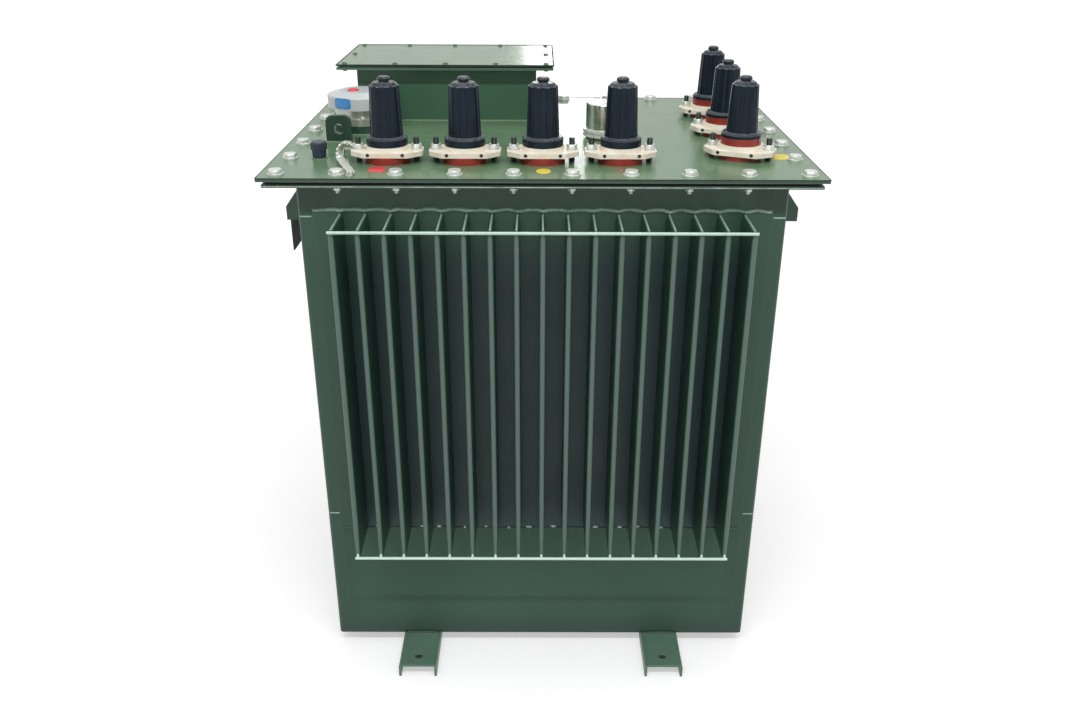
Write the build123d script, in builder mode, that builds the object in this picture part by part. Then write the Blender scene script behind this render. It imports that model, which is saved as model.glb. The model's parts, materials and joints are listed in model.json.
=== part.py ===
"""A three-phase oil-filled power transformer, in millimetres.

A welded tank with two finned walls stands on two channel feet. Its bolted lid carries four low-voltage
and three high-voltage plug-in bushings, a raised hand-hole turret, a relief valve, a filler and a
thermometer pocket. The front is -Y, the floor is Z = 0 and the origin is under the tank's middle.
"""

import os

from build123d import *

os.makedirs("parts", exist_ok=True)

# Feet, folded channels that are open below
foot_gauge = 550
foot_width = 84
foot_height = 32
foot_sheet = 5
foot_overhang = 110
foot_bend = 8
foot_hole_d = 18
foot_hole_inset = 30

# Tank
tank_width = 934
tank_depth = 680
tank_height = 1069
tank_sheet = 5
floor_sheet = 8
corner_radius = 9
side_return = 28

# Finned walls
skirt_height = 290
band_height = 61
fin_count = 17
fin_margin = 54
fin_depth = 113
fin_thickness = 10.5
fin_sheet = 1.5
fold_start = 10
fin_top_pinch = 14
fin_foot_pinch = 60
fin_foot_width = 6
rod_d = 6
rod_inset = 3

# Flange, gasket and lid
lid_overhang = 58
lid_thickness = 7
lid_edge = 1
flange_thickness = 6
flange_seat = 10
flange_inset = 8
gasket_thickness = 7
gasket_inset = 6
gasket_width = 50

# Lugs and bracket
tank_lug_reach = 68
tank_lug_height = 122
tank_lug_tip = 29
tank_lug_thickness = 14
tank_lug_pitch = 300
tank_lug_drop = 10
tank_lug_hole_d = 28
tank_lug_hole_out = 30
tank_lug_hole_up = 32
lid_lug_width = 52
lid_lug_height = 55
lid_lug_thickness = 12
lid_lug_corner = 14
lid_lug_hole_d = 22
lid_lug_inset = 103
lid_lug_ahead = 123
bracket_length = 260
bracket_drop = 78
bracket_sheet = 3
bracket_below = 130

# Bushings: their places, then diameters and heights above the lid
lv_pitch = 150
lv_middle_x = -75
lv_inset = 137
hv_pitch = 200
hv_middle_y = -22
hv_inset = 136
hv_turn = -24
base_d = 86
lv_base_height = 14
hv_base_height = 10
lv_neck_d = 67
hv_neck_d = 78
lv_neck_top = 33
hv_neck_top = 42
cone_bottom_d = 46
cone_top_d = 36
cone_top = 126
clamp_gap = 12
clamp_slant = 26
clamp_end_width = 36
clamp_rim = 5
clamp_thickness = 9
clamp_corner = 9
hub_wall = 5
hub_draft = 2
hub_height = 9
bore_gap = 0.3
cap_ring_d = 79
lv_cap_ring_height = 16
hv_cap_ring_height = 9
cap_ring_edge = 3
lv_cap_bottom_d = 60
lv_cap_top_d = 53
lv_cap_height = 117
hv_cap_bottom_d = 58
hv_cap_top_d = 49
hv_cap_height = 105
cap_shoulder = 6
cap_gap = 1
rib_count = 10
rib_width = 8
rib_crest = 5
rib_height = 1.5
knob_d = 24
knob_neck_d = 19
knob_neck_height = 3
knob_height = 10
knob_edge = 3

# Hand-hole turret
turret_width = 400
turret_depth = 241
turret_left = 111
turret_behind = 45
turret_height = 128.5
turret_sheet = 4
turret_lip = 38
turret_lip_thickness = 5
turret_gasket_thickness = 3
turret_lid_thickness = 3

# Relief valve
valve_inset = 131
valve_ahead = 92
valve_base_d = 120
valve_base_height = 18
valve_flange_d = 122
valve_flange_height = 14
valve_waist_d = 112
valve_waist_height = 20
valve_cap_d = 140
valve_cap_height = 33
valve_cap_slope = 7
valve_cap_flat_d = 88
valve_cap_edge = 4

# Filler
filler_x = 130
filler_y = -50
filler_neck_d = 70
filler_neck_height = 6
filler_ring_d = 88
filler_ring_height = 14
filler_groove_d = 80
filler_groove_height = 3
filler_cap_d = 76
filler_cap_height = 54
filler_cap_edge = 3

# Thermometer pocket and its plug
pocket_left = 136
pocket_behind = 16
pocket_d = 26
pocket_height = 17
plug_d = 30
plug_height = 17
plug_edge = 3

# Neutral earthing strap
strap_width = 14
strap_thickness = 2
strap_bend = 4
strap_clear = 15
strap_reach = 118
stud_inset = 13

# Levels and places that follow from the sizes above
floor_top = foot_height + floor_sheet
tank_top = foot_height + tank_height
panel_bottom = foot_height + skirt_height
panel_top = tank_top - band_height
flange_top = tank_top + flange_thickness
lid_bottom = flange_top + gasket_thickness
lid_top = lid_bottom + lid_thickness
half_width = tank_width / 2
half_depth = tank_depth / 2
panel_half = half_width - side_return
fin_tip = half_depth + fin_depth
fin_pitch = 2 * (panel_half - fin_margin) / (fin_count - 1)
fin_places = [(index - (fin_count - 1) / 2) * fin_pitch for index in range(fin_count)]
lid_width = tank_width + 2 * lid_overhang
lid_depth = tank_depth + 2 * lid_overhang
flange_length = lid_width - 2 * flange_inset
flange_depth = lid_depth - 2 * flange_inset
flange_bar = lid_overhang - flange_inset + flange_seat
turret_x = turret_left + turret_width / 2 - lid_width / 2
turret_y = lid_depth / 2 - turret_behind - turret_depth / 2
valve_x = valve_inset - lid_width / 2
valve_y = turret_y - turret_depth / 2 - valve_ahead
lv_y = -lid_depth / 2 + lv_inset
lv_places = [(lv_middle_x + (index - 1.5) * lv_pitch, lv_y) for index in range(4)]
hv_x = lid_width / 2 - hv_inset
hv_places = [(hv_x, hv_middle_y + (index - 1) * hv_pitch) for index in range(3)]
clamp_length = lv_pitch - clamp_gap
clamp_top = lv_base_height + clamp_thickness


def save(part, name):
    """Label a part and write it out under its own name."""
    part.label = name
    export_step(part, f"parts/{name}.step")


def half_turn(part):
    """The same part on the opposite side of the tank."""
    return part.rotate(Axis.Z, 180)


# Feet
def foot(x):
    """One channel with a rounded bend along each top edge and a bolt hole near each end."""
    length = tank_depth + 2 * foot_overhang
    with BuildPart() as channel:
        with BuildSketch(Plane.XZ.offset(-length / 2)):
            with Locations((x, foot_height / 2)):
                Rectangle(foot_width, foot_height)
            with Locations((x, (foot_height - foot_sheet) / 2)):
                Rectangle(foot_width - 2 * foot_sheet, foot_height - foot_sheet, mode=Mode.SUBTRACT)
        extrude(amount=length)
        long_edges = channel.edges().filter_by(Axis.Y)
        fillet(long_edges.group_by(Axis.Z)[-1], foot_bend)
        with Locations(Plane((x, 0, foot_height))):
            with GridLocations(0, length - 2 * foot_hole_inset, 1, 2):
                Hole(foot_hole_d / 2, depth=2 * foot_sheet)
    return channel.part


save(foot(-foot_gauge / 2), "left_foot_channel")
save(foot(foot_gauge / 2), "right_foot_channel")

# Tank floor
with BuildPart() as tank_floor:
    with BuildSketch(Plane.XY.offset(foot_height)):
        RectangleRounded(tank_width, tank_depth, corner_radius)
    extrude(amount=floor_sheet)
save(tank_floor.part, "tank_floor")

# Side walls, each bent round on to the front and the rear
with BuildPart() as left_wall:
    with BuildSketch(Plane.XY.offset(floor_top)):
        RectangleRounded(tank_width, tank_depth, corner_radius)
        RectangleRounded(
            tank_width - 2 * tank_sheet,
            tank_depth - 2 * tank_sheet,
            corner_radius - tank_sheet,
            mode=Mode.SUBTRACT,
        )
        with Locations((side_return, 0)):
            Rectangle(tank_width, tank_depth, mode=Mode.SUBTRACT)
    extrude(amount=tank_top - floor_top)
save(left_wall.part, "left_side_wall")
save(half_turn(left_wall.part), "right_side_wall")


# Plain plates above and below the fins
def front_plate(bottom, top):
    """A plate in the front wall between the bent edges of the side walls."""
    with BuildPart() as plate:
        with BuildSketch(Plane.XY.offset(bottom)):
            with Locations((0, -half_depth + tank_sheet / 2)):
                Rectangle(2 * panel_half, tank_sheet)
        extrude(amount=top - bottom)
    return plate.part


upper_band = front_plate(panel_top, tank_top)
save(upper_band, "front_upper_band")
save(half_turn(upper_band), "rear_upper_band")
skirt = front_plate(floor_top, panel_bottom)
save(skirt, "front_skirt")
save(half_turn(skirt), "rear_skirt")


# Finned panel: one sheet folded into hollow fins, each pressed flat at its ends
def blade(root, tip, full, foot, flat, bottom, top):
    """An upright round-tipped blade on x = 0, `full` thick, narrowing to `foot` below and `flat` above."""
    with BuildPart() as body:
        for level, thickness in (
            (bottom, foot),
            (bottom + fin_foot_pinch, full),
            (top - fin_top_pinch, full),
            (top, flat),
        ):
            side = thickness / 2
            with BuildSketch(Plane.XY.offset(level)):
                with BuildLine():
                    Polyline((-side, tip + side), (-side, root), (side, root), (side, tip + side))
                    ThreePointArc((-side, tip + side), (0, tip), (side, tip + side))
                make_face()
        loft(ruled=True)
    return body.part


fin_shape = blade(
    -half_depth,
    -fin_tip,
    fin_thickness,
    fin_foot_width,
    2 * fin_sheet,
    panel_bottom,
    panel_top,
)
fold_shape = blade(
    -half_depth + 2 * fin_sheet,
    -fin_tip + fin_sheet,
    fin_thickness - 2 * fin_sheet,
    fin_foot_width - 2 * fin_sheet,
    fin_sheet / 3,
    panel_bottom + fold_start,
    panel_top - fold_start,
)
with BuildPart() as fin_panel:
    with BuildSketch(Plane.XY.offset(panel_bottom)):
        with Locations((0, -half_depth + fin_sheet / 2)):
            Rectangle(2 * panel_half, fin_sheet)
    extrude(amount=panel_top - panel_bottom)
    with Locations([(x, 0, 0) for x in fin_places]):
        add(fin_shape)
        add(fold_shape, mode=Mode.SUBTRACT)
save(fin_panel.part, "front_fin_panel")
save(half_turn(fin_panel.part), "rear_fin_panel")

# Rods welded across the fin tips, one near each end of the fins
rod_length = (fin_count - 1) * fin_pitch + fin_thickness
rod_y = -fin_tip - rod_d / 2
with BuildPart() as fin_rods:
    with BuildSketch(Plane.YZ.offset(-rod_length / 2)):
        with Locations((rod_y, panel_bottom + rod_inset), (rod_y, panel_top - rod_inset)):
            Circle(rod_d / 2)
    extrude(amount=rod_length)
save(fin_rods.part, "front_fin_rods")
save(half_turn(fin_rods.part), "rear_fin_rods")

# Flange bars round the tank's top
with BuildPart() as long_bars:
    with BuildSketch(Plane.XY.offset(tank_top)):
        with GridLocations(0, flange_depth - flange_bar, 1, 2):
            Rectangle(flange_length, flange_bar)
    extrude(amount=flange_thickness)
save(long_bars.part, "tank_flange_long_bars")

with BuildPart() as side_bars:
    with BuildSketch(Plane.XY.offset(tank_top)):
        with GridLocations(flange_length - flange_bar, 0, 2, 1):
            Rectangle(flange_bar, flange_depth - 2 * flange_bar)
    extrude(amount=flange_thickness)
save(side_bars.part, "tank_flange_side_bars")

# Lid and its gasket
gasket_outer = (flange_length - 2 * gasket_inset, flange_depth - 2 * gasket_inset)
with BuildPart() as lid_gasket:
    with BuildSketch(Plane.XY.offset(flange_top)):
        Rectangle(*gasket_outer)
        Rectangle(gasket_outer[0] - 2 * gasket_width, gasket_outer[1] - 2 * gasket_width, mode=Mode.SUBTRACT)
    extrude(amount=gasket_thickness)
save(lid_gasket.part, "lid_gasket")

with BuildPart() as tank_lid:
    with BuildSketch(Plane.XY.offset(lid_bottom)):
        Rectangle(lid_width, lid_depth)
    extrude(amount=lid_thickness)
    chamfer(tank_lid.faces().sort_by(Axis.Z)[-1].edges(), lid_edge)
save(tank_lid.part, "tank_lid")

# Lifting lugs on the tank's sides, a pair on each
lug_top = tank_top - tank_lug_drop
lug_bottom = lug_top - tank_lug_height
lug_end = half_width + tank_lug_reach
with BuildPart() as right_tank_lugs:
    for y in (-tank_lug_pitch / 2, tank_lug_pitch / 2):
        with BuildSketch(Plane.XZ.offset(-y - tank_lug_thickness / 2)):
            with BuildLine():
                Polyline(
                    (half_width, lug_top),
                    (half_width, lug_bottom),
                    (lug_end, lug_bottom),
                    (lug_end, lug_bottom + tank_lug_tip),
                    close=True,
                )
            make_face()
            with Locations((half_width + tank_lug_hole_out, lug_bottom + tank_lug_hole_up)):
                Circle(tank_lug_hole_d / 2, mode=Mode.SUBTRACT)
        extrude(amount=tank_lug_thickness)
save(right_tank_lugs.part, "right_tank_lugs")
save(half_turn(right_tank_lugs.part), "left_tank_lugs")

# Bare nameplate bracket on the left side, a sheet bent to an angle
bracket_middle = (-half_width - tank_lug_reach / 2, tank_top - bracket_below - bracket_drop / 2)
with BuildPart() as nameplate_bracket:
    with BuildSketch(Plane.XZ.offset(-bracket_length / 2)):
        with Locations(bracket_middle):
            Rectangle(tank_lug_reach, bracket_drop)
            with Locations((bracket_sheet, -bracket_sheet)):
                Rectangle(tank_lug_reach, bracket_drop, mode=Mode.SUBTRACT)
    extrude(amount=bracket_length)
save(nameplate_bracket.part, "nameplate_bracket")


# Lifting lugs on the lid
def lid_lug(x, y):
    """An upright plate across the lid with a shackle hole and round top corners."""
    with BuildPart() as lug:
        with BuildSketch(Plane.XZ.offset(-y - lid_lug_thickness / 2)) as outline:
            with Locations((x, lid_top + lid_lug_height / 2)):
                Rectangle(lid_lug_width, lid_lug_height)
            fillet(outline.vertices().group_by(Axis.Y)[-1], lid_lug_corner)
            with Locations((x, lid_top + lid_lug_height / 2)):
                Circle(lid_lug_hole_d / 2, mode=Mode.SUBTRACT)
        extrude(amount=lid_lug_thickness)
    return lug.part


lid_lug_x = lid_width / 2 - lid_lug_inset
save(lid_lug(-lid_lug_x, valve_y - lid_lug_ahead), "left_lid_lug")
save(lid_lug(lid_lug_x, hv_middle_y + hv_pitch / 2), "right_lid_lug")

# Hand-hole turret: four walls with an out-turned lip, then gasket and lid
lip_bottom = turret_height - turret_lid_thickness - turret_gasket_thickness - turret_lip_thickness
turret_outer = (turret_width + 2 * turret_lip, turret_depth + 2 * turret_lip)
lip_bar = turret_lip + turret_sheet
with BuildPart() as turret_long_walls:
    with BuildSketch(Plane((turret_x, turret_y, lid_top))):
        with GridLocations(0, turret_depth - turret_sheet, 1, 2):
            Rectangle(turret_width, turret_sheet)
    extrude(amount=lip_bottom)
    with BuildSketch(Plane((turret_x, turret_y, lid_top + lip_bottom))):
        with GridLocations(0, turret_outer[1] - lip_bar, 1, 2):
            Rectangle(turret_outer[0], lip_bar)
    extrude(amount=turret_lip_thickness)
save(turret_long_walls.part, "turret_long_walls")

with BuildPart() as turret_side_walls:
    with BuildSketch(Plane((turret_x, turret_y, lid_top))):
        with GridLocations(turret_width - turret_sheet, 0, 2, 1):
            Rectangle(turret_sheet, turret_depth - 2 * turret_sheet)
    extrude(amount=lip_bottom)
    with BuildSketch(Plane((turret_x, turret_y, lid_top + lip_bottom))):
        with GridLocations(turret_outer[0] - lip_bar, 0, 2, 1):
            Rectangle(lip_bar, turret_depth - 2 * turret_sheet)
    extrude(amount=turret_lip_thickness)
save(turret_side_walls.part, "turret_side_walls")

with BuildPart() as turret_gasket:
    with BuildSketch(Plane((turret_x, turret_y, lid_top + lip_bottom + turret_lip_thickness))):
        Rectangle(turret_outer[0] - 2 * gasket_inset, turret_outer[1] - 2 * gasket_inset)
        Rectangle(turret_width - 2 * turret_sheet, turret_depth - 2 * turret_sheet, mode=Mode.SUBTRACT)
    extrude(amount=turret_gasket_thickness)
save(turret_gasket.part, "turret_gasket")

with BuildPart() as turret_lid:
    with BuildSketch(Plane((turret_x, turret_y, lid_top + turret_height - turret_lid_thickness))):
        Rectangle(*turret_outer)
    extrude(amount=turret_lid_thickness)
    chamfer(turret_lid.faces().sort_by(Axis.Z)[-1].edges(), lid_edge)
save(turret_lid.part, "turret_lid")


# Turned pieces on the lid
def turned(x, y, outline):
    """A solid of revolution about the upright line through (x, y), from (radius, height) points."""
    with BuildPart() as body:
        with BuildSketch(Plane((x, y, lid_top), x_dir=(1, 0, 0), z_dir=(0, -1, 0))):
            with BuildLine():
                Polyline(*outline, close=True)
            make_face()
        revolve(axis=Axis((x, y, lid_top), (0, 0, 1)))
    return body.part


# Relief valve: welded base, flanged body and overhanging cap
flange_level = valve_base_height + valve_flange_height
cap_level = flange_level + valve_waist_height
valve_top = cap_level + valve_cap_height
valve_base = turned(
    valve_x,
    valve_y,
    [(0, 0), (valve_base_d / 2, 0), (valve_base_d / 2, valve_base_height), (0, valve_base_height)],
)
save(valve_base, "relief_valve_base")
valve_body = turned(
    valve_x,
    valve_y,
    [
        (0, valve_base_height),
        (valve_flange_d / 2, valve_base_height),
        (valve_flange_d / 2, flange_level),
        (valve_waist_d / 2, flange_level),
        (valve_waist_d / 2, cap_level),
        (0, cap_level),
    ],
)
save(valve_body, "relief_valve_body")
with BuildPart() as valve_cap:
    add(
        turned(
            valve_x,
            valve_y,
            [
                (0, cap_level),
                (valve_cap_d / 2, cap_level),
                (valve_cap_d / 2, valve_top - valve_cap_slope),
                (valve_cap_flat_d / 2, valve_top),
                (0, valve_top),
            ],
        )
    )
    rims = valve_cap.edges().filter_by(GeomType.CIRCLE).group_by(Axis.Z)
    fillet(rims[1], valve_cap_edge)
save(valve_cap.part, "relief_valve_cap")

# Filler
filler_seat = filler_neck_height + filler_ring_height
groove_low = filler_neck_height + (filler_ring_height - filler_groove_height) / 2
groove_high = groove_low + filler_groove_height
filler_neck = turned(
    filler_x,
    filler_y,
    [
        (0, 0),
        (filler_neck_d / 2, 0),
        (filler_neck_d / 2, filler_neck_height),
        (filler_ring_d / 2, filler_neck_height),
        (filler_ring_d / 2, groove_low),
        (filler_groove_d / 2, groove_low),
        (filler_groove_d / 2, groove_high),
        (filler_ring_d / 2, groove_high),
        (filler_ring_d / 2, filler_seat),
        (0, filler_seat),
    ],
)
save(filler_neck, "filler_neck")
with BuildPart() as filler_cap:
    with BuildSketch(Plane((filler_x, filler_y, lid_top + filler_seat))):
        Circle(filler_cap_d / 2)
    extrude(amount=filler_cap_height)
    fillet(filler_cap.faces().sort_by(Axis.Z)[-1].edges(), filler_cap_edge)
save(filler_cap.part, "filler_cap")

# Thermometer pocket with its plug, beside the first bushing
plug_top = pocket_height + plug_height
with BuildPart() as thermometer_plug:
    add(
        turned(
            lv_places[0][0] - pocket_left,
            lv_y + pocket_behind,
            [
                (0, 0),
                (pocket_d / 2, 0),
                (pocket_d / 2, pocket_height),
                (plug_d / 2, pocket_height),
                (plug_d / 2, plug_top),
                (0, plug_top),
            ],
        )
    )
    fillet(thermometer_plug.faces().sort_by(Axis.Z)[-1].edges(), plug_edge)
save(thermometer_plug.part, "thermometer_plug")


# Bushings: a moulded insulator, a clamp that holds it down and a dust cap over its cone
def insulators(places, base_height, neck_d, neck_top):
    """Base disc, neck and contact cone of each bushing, one solid apiece."""
    outline = [
        (0, 0),
        (base_d / 2, 0),
        (base_d / 2, base_height),
        (neck_d / 2, base_height),
        (neck_d / 2, neck_top),
        (cone_bottom_d / 2, neck_top),
        (cone_top_d / 2, cone_top),
        (0, cone_top),
    ]
    with BuildPart() as group:
        for x, y in places:
            add(turned(x, y, outline))
    return group.part


def clamps(places, base_height, neck_d, turn):
    """Cast clamps, each a plate with slanted ends and a raised hub round the insulator's neck."""
    bore = neck_d / 2 + bore_gap
    hub = bore + hub_wall
    wide = hub + hub_draft + clamp_rim - hub_wall
    long = clamp_length / 2
    straight = long - clamp_slant
    end = clamp_end_width / 2
    with BuildPart() as group:
        for x, y in places:
            seat = Plane((x, y, lid_top + base_height)).rotated((0, 0, turn))
            with BuildSketch(seat) as outline:
                with BuildLine():
                    Polyline(
                        (-straight, -wide),
                        (straight, -wide),
                        (long, -end),
                        (long, end),
                        (straight, wide),
                        (-straight, wide),
                        (-long, end),
                        (-long, -end),
                        close=True,
                    )
                make_face()
                fillet(outline.vertices(), clamp_corner)
            extrude(amount=clamp_thickness)
            with Locations(seat.offset(clamp_thickness + hub_height / 2)):
                Cone(hub + hub_draft, hub, hub_height)
            with Locations(seat.offset((clamp_thickness + hub_height) / 2)):
                Cylinder(bore, clamp_thickness + hub_height, mode=Mode.SUBTRACT)
    return group.part


def cap_rib(low, high, bottom_d, top_d):
    """One rib of a dust cap, a tapered bar that follows the cap's side between two levels."""
    with BuildPart() as rib:
        for level, radius in ((low, bottom_d / 2), (high, top_d / 2)):
            with BuildSketch(Plane.XY.offset(lid_top + level)):
                with BuildLine():
                    Polyline(
                        (radius - rib_height, -rib_width / 2),
                        (radius + rib_height, -rib_crest / 2),
                        (radius + rib_height, rib_crest / 2),
                        (radius - rib_height, rib_width / 2),
                        close=True,
                    )
                make_face()
        loft(ruled=True)
    return rib.part


def dust_cap(x, y, neck_top, ring_height, height, bottom_d, top_d):
    """A hollow tapered cap with upright ribs, a thick ring at its mouth and a grip knob on top."""
    ring_top = neck_top + ring_height
    cap_top = neck_top + height
    outline = [
        (cone_bottom_d / 2 + cap_gap, neck_top),
        (cap_ring_d / 2, neck_top),
        (cap_ring_d / 2, ring_top - cap_ring_edge),
        (cap_ring_d / 2 - cap_ring_edge, ring_top),
        (bottom_d / 2, ring_top),
        (top_d / 2, cap_top - cap_shoulder),
        (top_d / 2 - cap_shoulder, cap_top),
        (knob_neck_d / 2, cap_top),
        (knob_neck_d / 2, cap_top + knob_neck_height),
        (knob_d / 2, cap_top + knob_neck_height),
        (knob_d / 2, cap_top + knob_height - knob_edge),
        (knob_d / 2 - knob_edge, cap_top + knob_height),
        (0, cap_top + knob_height),
        (0, cone_top + cap_gap),
        (cone_top_d / 2 + cap_gap, cone_top + cap_gap),
    ]
    rib = cap_rib(ring_top, cap_top - cap_shoulder, bottom_d, top_d)
    with BuildPart() as cap:
        add(turned(x, y, outline))
        with Locations((x, y, 0)):
            with PolarLocations(0, rib_count):
                add(rib)
    return cap.part


save(insulators(lv_places, lv_base_height, lv_neck_d, lv_neck_top), "lv_bushing_insulators")
save(insulators(hv_places, hv_base_height, hv_neck_d, hv_neck_top), "hv_bushing_insulators")
save(clamps(lv_places, lv_base_height, lv_neck_d, 0), "lv_bushing_clamps")
save(clamps(hv_places, hv_base_height, hv_neck_d, hv_turn), "hv_bushing_clamps")
for number, place in enumerate(lv_places, start=1):
    cap = dust_cap(*place, lv_neck_top, lv_cap_ring_height, lv_cap_height, lv_cap_bottom_d, lv_cap_top_d)
    save(cap, f"lv_dust_cap_{number}")
for number, place in enumerate(hv_places, start=1):
    cap = dust_cap(*place, hv_neck_top, hv_cap_ring_height, hv_cap_height, hv_cap_bottom_d, hv_cap_top_d)
    save(cap, f"hv_dust_cap_{number}")

# Neutral earthing strap: a tab on the first clamp's left stud, a leg down to the lid and a run forward
stud_x = lv_places[0][0] - clamp_length / 2 + stud_inset
leg_x = lv_places[0][0] - clamp_length / 2 - strap_clear
run_start = (leg_x - strap_thickness / 2, lv_y)
run_end = (stud_x, lv_y - strap_reach)
with BuildPart() as strap:
    with BuildSketch(Plane.XZ.offset(-lv_y - strap_width / 2)) as tab:
        with BuildLine():
            Polyline(
                (stud_x + strap_width, lid_top + clamp_top),
                (stud_x + strap_width, lid_top + clamp_top + strap_thickness),
                (leg_x - strap_thickness, lid_top + clamp_top + strap_thickness),
                (leg_x - strap_thickness, lid_top),
                (leg_x, lid_top),
                (leg_x, lid_top + clamp_top),
                close=True,
            )
        make_face()
        bend = tab.vertices().group_by(Axis.X)[0].sort_by(Axis.Y)[-1]
        fillet(bend, strap_bend)
    extrude(amount=strap_width)
    with BuildSketch(Plane.XY.offset(lid_top)):
        SlotCenterPoint(
            ((run_start[0] + run_end[0]) / 2, (run_start[1] + run_end[1]) / 2), run_end, strap_width
        )
    extrude(amount=strap_thickness)
save(strap.part, "neutral_earth_strap")
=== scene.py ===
# %% [markdown]
# # A three-phase oil-filled power transformer
# The CAD model already holds the tank, the fins, the lid and the bushings at their real size.
# This lesson dresses it: paint, resin, plated steel and rubber for the CAD pieces, and the small things
# that make it look welded and bolted together, such as bolts, studs, weld beads and phase marks.

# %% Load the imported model
import json
import math

import bmesh
import bpy
import numpy as np
from mathutils import Matrix, Vector


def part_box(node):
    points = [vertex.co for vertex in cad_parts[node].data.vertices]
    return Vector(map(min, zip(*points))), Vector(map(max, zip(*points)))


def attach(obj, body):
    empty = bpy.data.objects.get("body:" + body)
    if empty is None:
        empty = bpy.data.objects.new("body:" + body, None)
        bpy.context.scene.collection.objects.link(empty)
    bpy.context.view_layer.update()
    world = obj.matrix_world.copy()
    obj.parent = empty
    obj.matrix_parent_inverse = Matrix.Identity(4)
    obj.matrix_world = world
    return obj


MM = 0.001
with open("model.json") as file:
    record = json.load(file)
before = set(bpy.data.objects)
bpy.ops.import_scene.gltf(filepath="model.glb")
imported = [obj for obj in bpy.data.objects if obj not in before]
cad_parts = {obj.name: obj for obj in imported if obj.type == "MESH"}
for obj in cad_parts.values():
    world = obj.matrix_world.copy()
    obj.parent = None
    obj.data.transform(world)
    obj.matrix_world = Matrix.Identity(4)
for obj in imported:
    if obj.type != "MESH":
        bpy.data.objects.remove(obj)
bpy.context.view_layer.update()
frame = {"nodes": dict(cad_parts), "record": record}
nodes = frame["nodes"]

# %% [markdown]
# ## Camera
# The picture was taken from a little above the lid, straight in front. The place, the pitch and the focal
# length were worked out from the lid's corners, the rods and the feet, so that they land on the same
# pixels here. Building the matrix from three axes keeps the small roll without any rotation order.

# %% Camera
SENSOR_WIDTH = 36.0
FOCAL_LENGTH = 33.63
CAMERA_PLACE = Vector((-0.0096, -2.2, 1.5999))
PITCH, YAW, ROLL = (math.radians(angle) for angle in (25.03, 0.168, 0.233))

ahead = Vector((math.sin(YAW) * math.cos(PITCH), math.cos(YAW) * math.cos(PITCH), -math.sin(PITCH)))
level_right = Vector((math.cos(YAW), -math.sin(YAW), 0.0))
level_up = level_right.cross(ahead)
camera_right = math.cos(ROLL) * level_right + math.sin(ROLL) * level_up
camera_up = -math.sin(ROLL) * level_right + math.cos(ROLL) * level_up

camera_data = bpy.data.cameras.new("photo_camera")
camera_data.sensor_fit = "HORIZONTAL"
camera_data.sensor_width = SENSOR_WIDTH
camera_data.lens = FOCAL_LENGTH
camera = bpy.data.objects.new("photo_camera", camera_data)
axes = Matrix((camera_right, camera_up, -ahead)).transposed().to_4x4()
camera.matrix_world = Matrix.Translation(CAMERA_PLACE) @ axes
bpy.context.scene.collection.objects.link(camera)
bpy.context.scene.camera = camera
bpy.context.scene.view_settings.view_transform = "Standard"
print("camera at", tuple(CAMERA_PLACE))

# %% [markdown]
# ## Shader helpers
# A material is a small graph of nodes. A few helpers keep the graphs readable: they add a node with its
# inputs linked or filled, start a node group with named sockets, and start a material. Every pattern
# reads Object coordinates, which are metres here because each piece sits at the origin.


# %% Shader helpers
def fill(tree, node, inputs):
    """Link each input that is given as a socket, and set each that is given as a value."""
    for key, value in inputs.items():
        if isinstance(value, bpy.types.NodeSocket):
            tree.links.new(value, node.inputs[key])
        else:
            node.inputs[key].default_value = value


def place(tree, kind, inputs, **settings):
    """Add a node of this kind with its settings and inputs, and hand back its outputs."""
    node = tree.nodes.new(kind)
    for key, value in settings.items():
        setattr(node, key, value)
    fill(tree, node, inputs)
    return node.outputs


def blend(tree, factor, first, second):
    """Mix two colours. The Mix node takes them at sockets 6 and 7 and gives the result at socket 2."""
    return place(tree, "ShaderNodeMix", {0: factor, 6: first, 7: second}, data_type="RGBA")[2]


def sums(tree, operation, first, second):
    """One step of arithmetic on two values."""
    return place(tree, "ShaderNodeMath", {0: first, 1: second}, operation=operation)[0]


def ramp(tree, value, low, high):
    """Stretch the span low..high of a value to 0..1, with the ends held."""
    return place(tree, "ShaderNodeMapRange", {"Value": value, "From Min": low, "From Max": high})["Result"]


def noise(tree, where, scale, detail=4.0, roughness=0.55):
    """A cloudy pattern between 0 and 1, `scale` clouds to the metre."""
    settings = {"Vector": where, "Scale": scale, "Detail": detail, "Roughness": roughness}
    return place(tree, "ShaderNodeTexNoise", settings)["Fac"]


def new_group(name, inputs, outputs):
    """Start a node group from (label, kind, default) inputs and (label, kind) outputs."""
    group = bpy.data.node_groups.new(name, "ShaderNodeTree")
    for label, kind, value in inputs:
        group.interface.new_socket(label, in_out="INPUT", socket_type=kind).default_value = value
    for label, kind in outputs:
        group.interface.new_socket(label, in_out="OUTPUT", socket_type=kind)
    return group, group.nodes.new("NodeGroupInput").outputs, group.nodes.new("NodeGroupOutput").inputs


def use_group(tree, group, inputs):
    """Place a finished group in a material's tree and hand back its outputs."""
    node = tree.nodes.new("ShaderNodeGroup")
    node.node_tree = group
    fill(tree, node, inputs)
    return node.outputs


def new_finish(name):
    """Start a material, and hand back it, its tree, its Principled shader and its Object coordinates."""
    material = bpy.data.materials.new(name)
    material.use_nodes = True
    tree = material.node_tree
    where = tree.nodes.new("ShaderNodeTexCoord").outputs["Object"]
    return material, tree, tree.nodes["Principled BSDF"], where


def screen(red, green, blue):
    """A colour given as 0-255 screen values, turned into the linear values that shaders use."""
    share = np.array([red, green, blue]) / 255.0
    linear = np.where(share <= 0.04045, share / 12.92, ((share + 0.055) / 1.055) ** 2.4)
    return (*linear.tolist(), 1.0)


FLOAT, COLOUR, VECTOR = "NodeSocketFloat", "NodeSocketColor", "NodeSocketVector"
GREY = (0.5, 0.5, 0.5, 1.0)
print("helpers ready")

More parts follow.
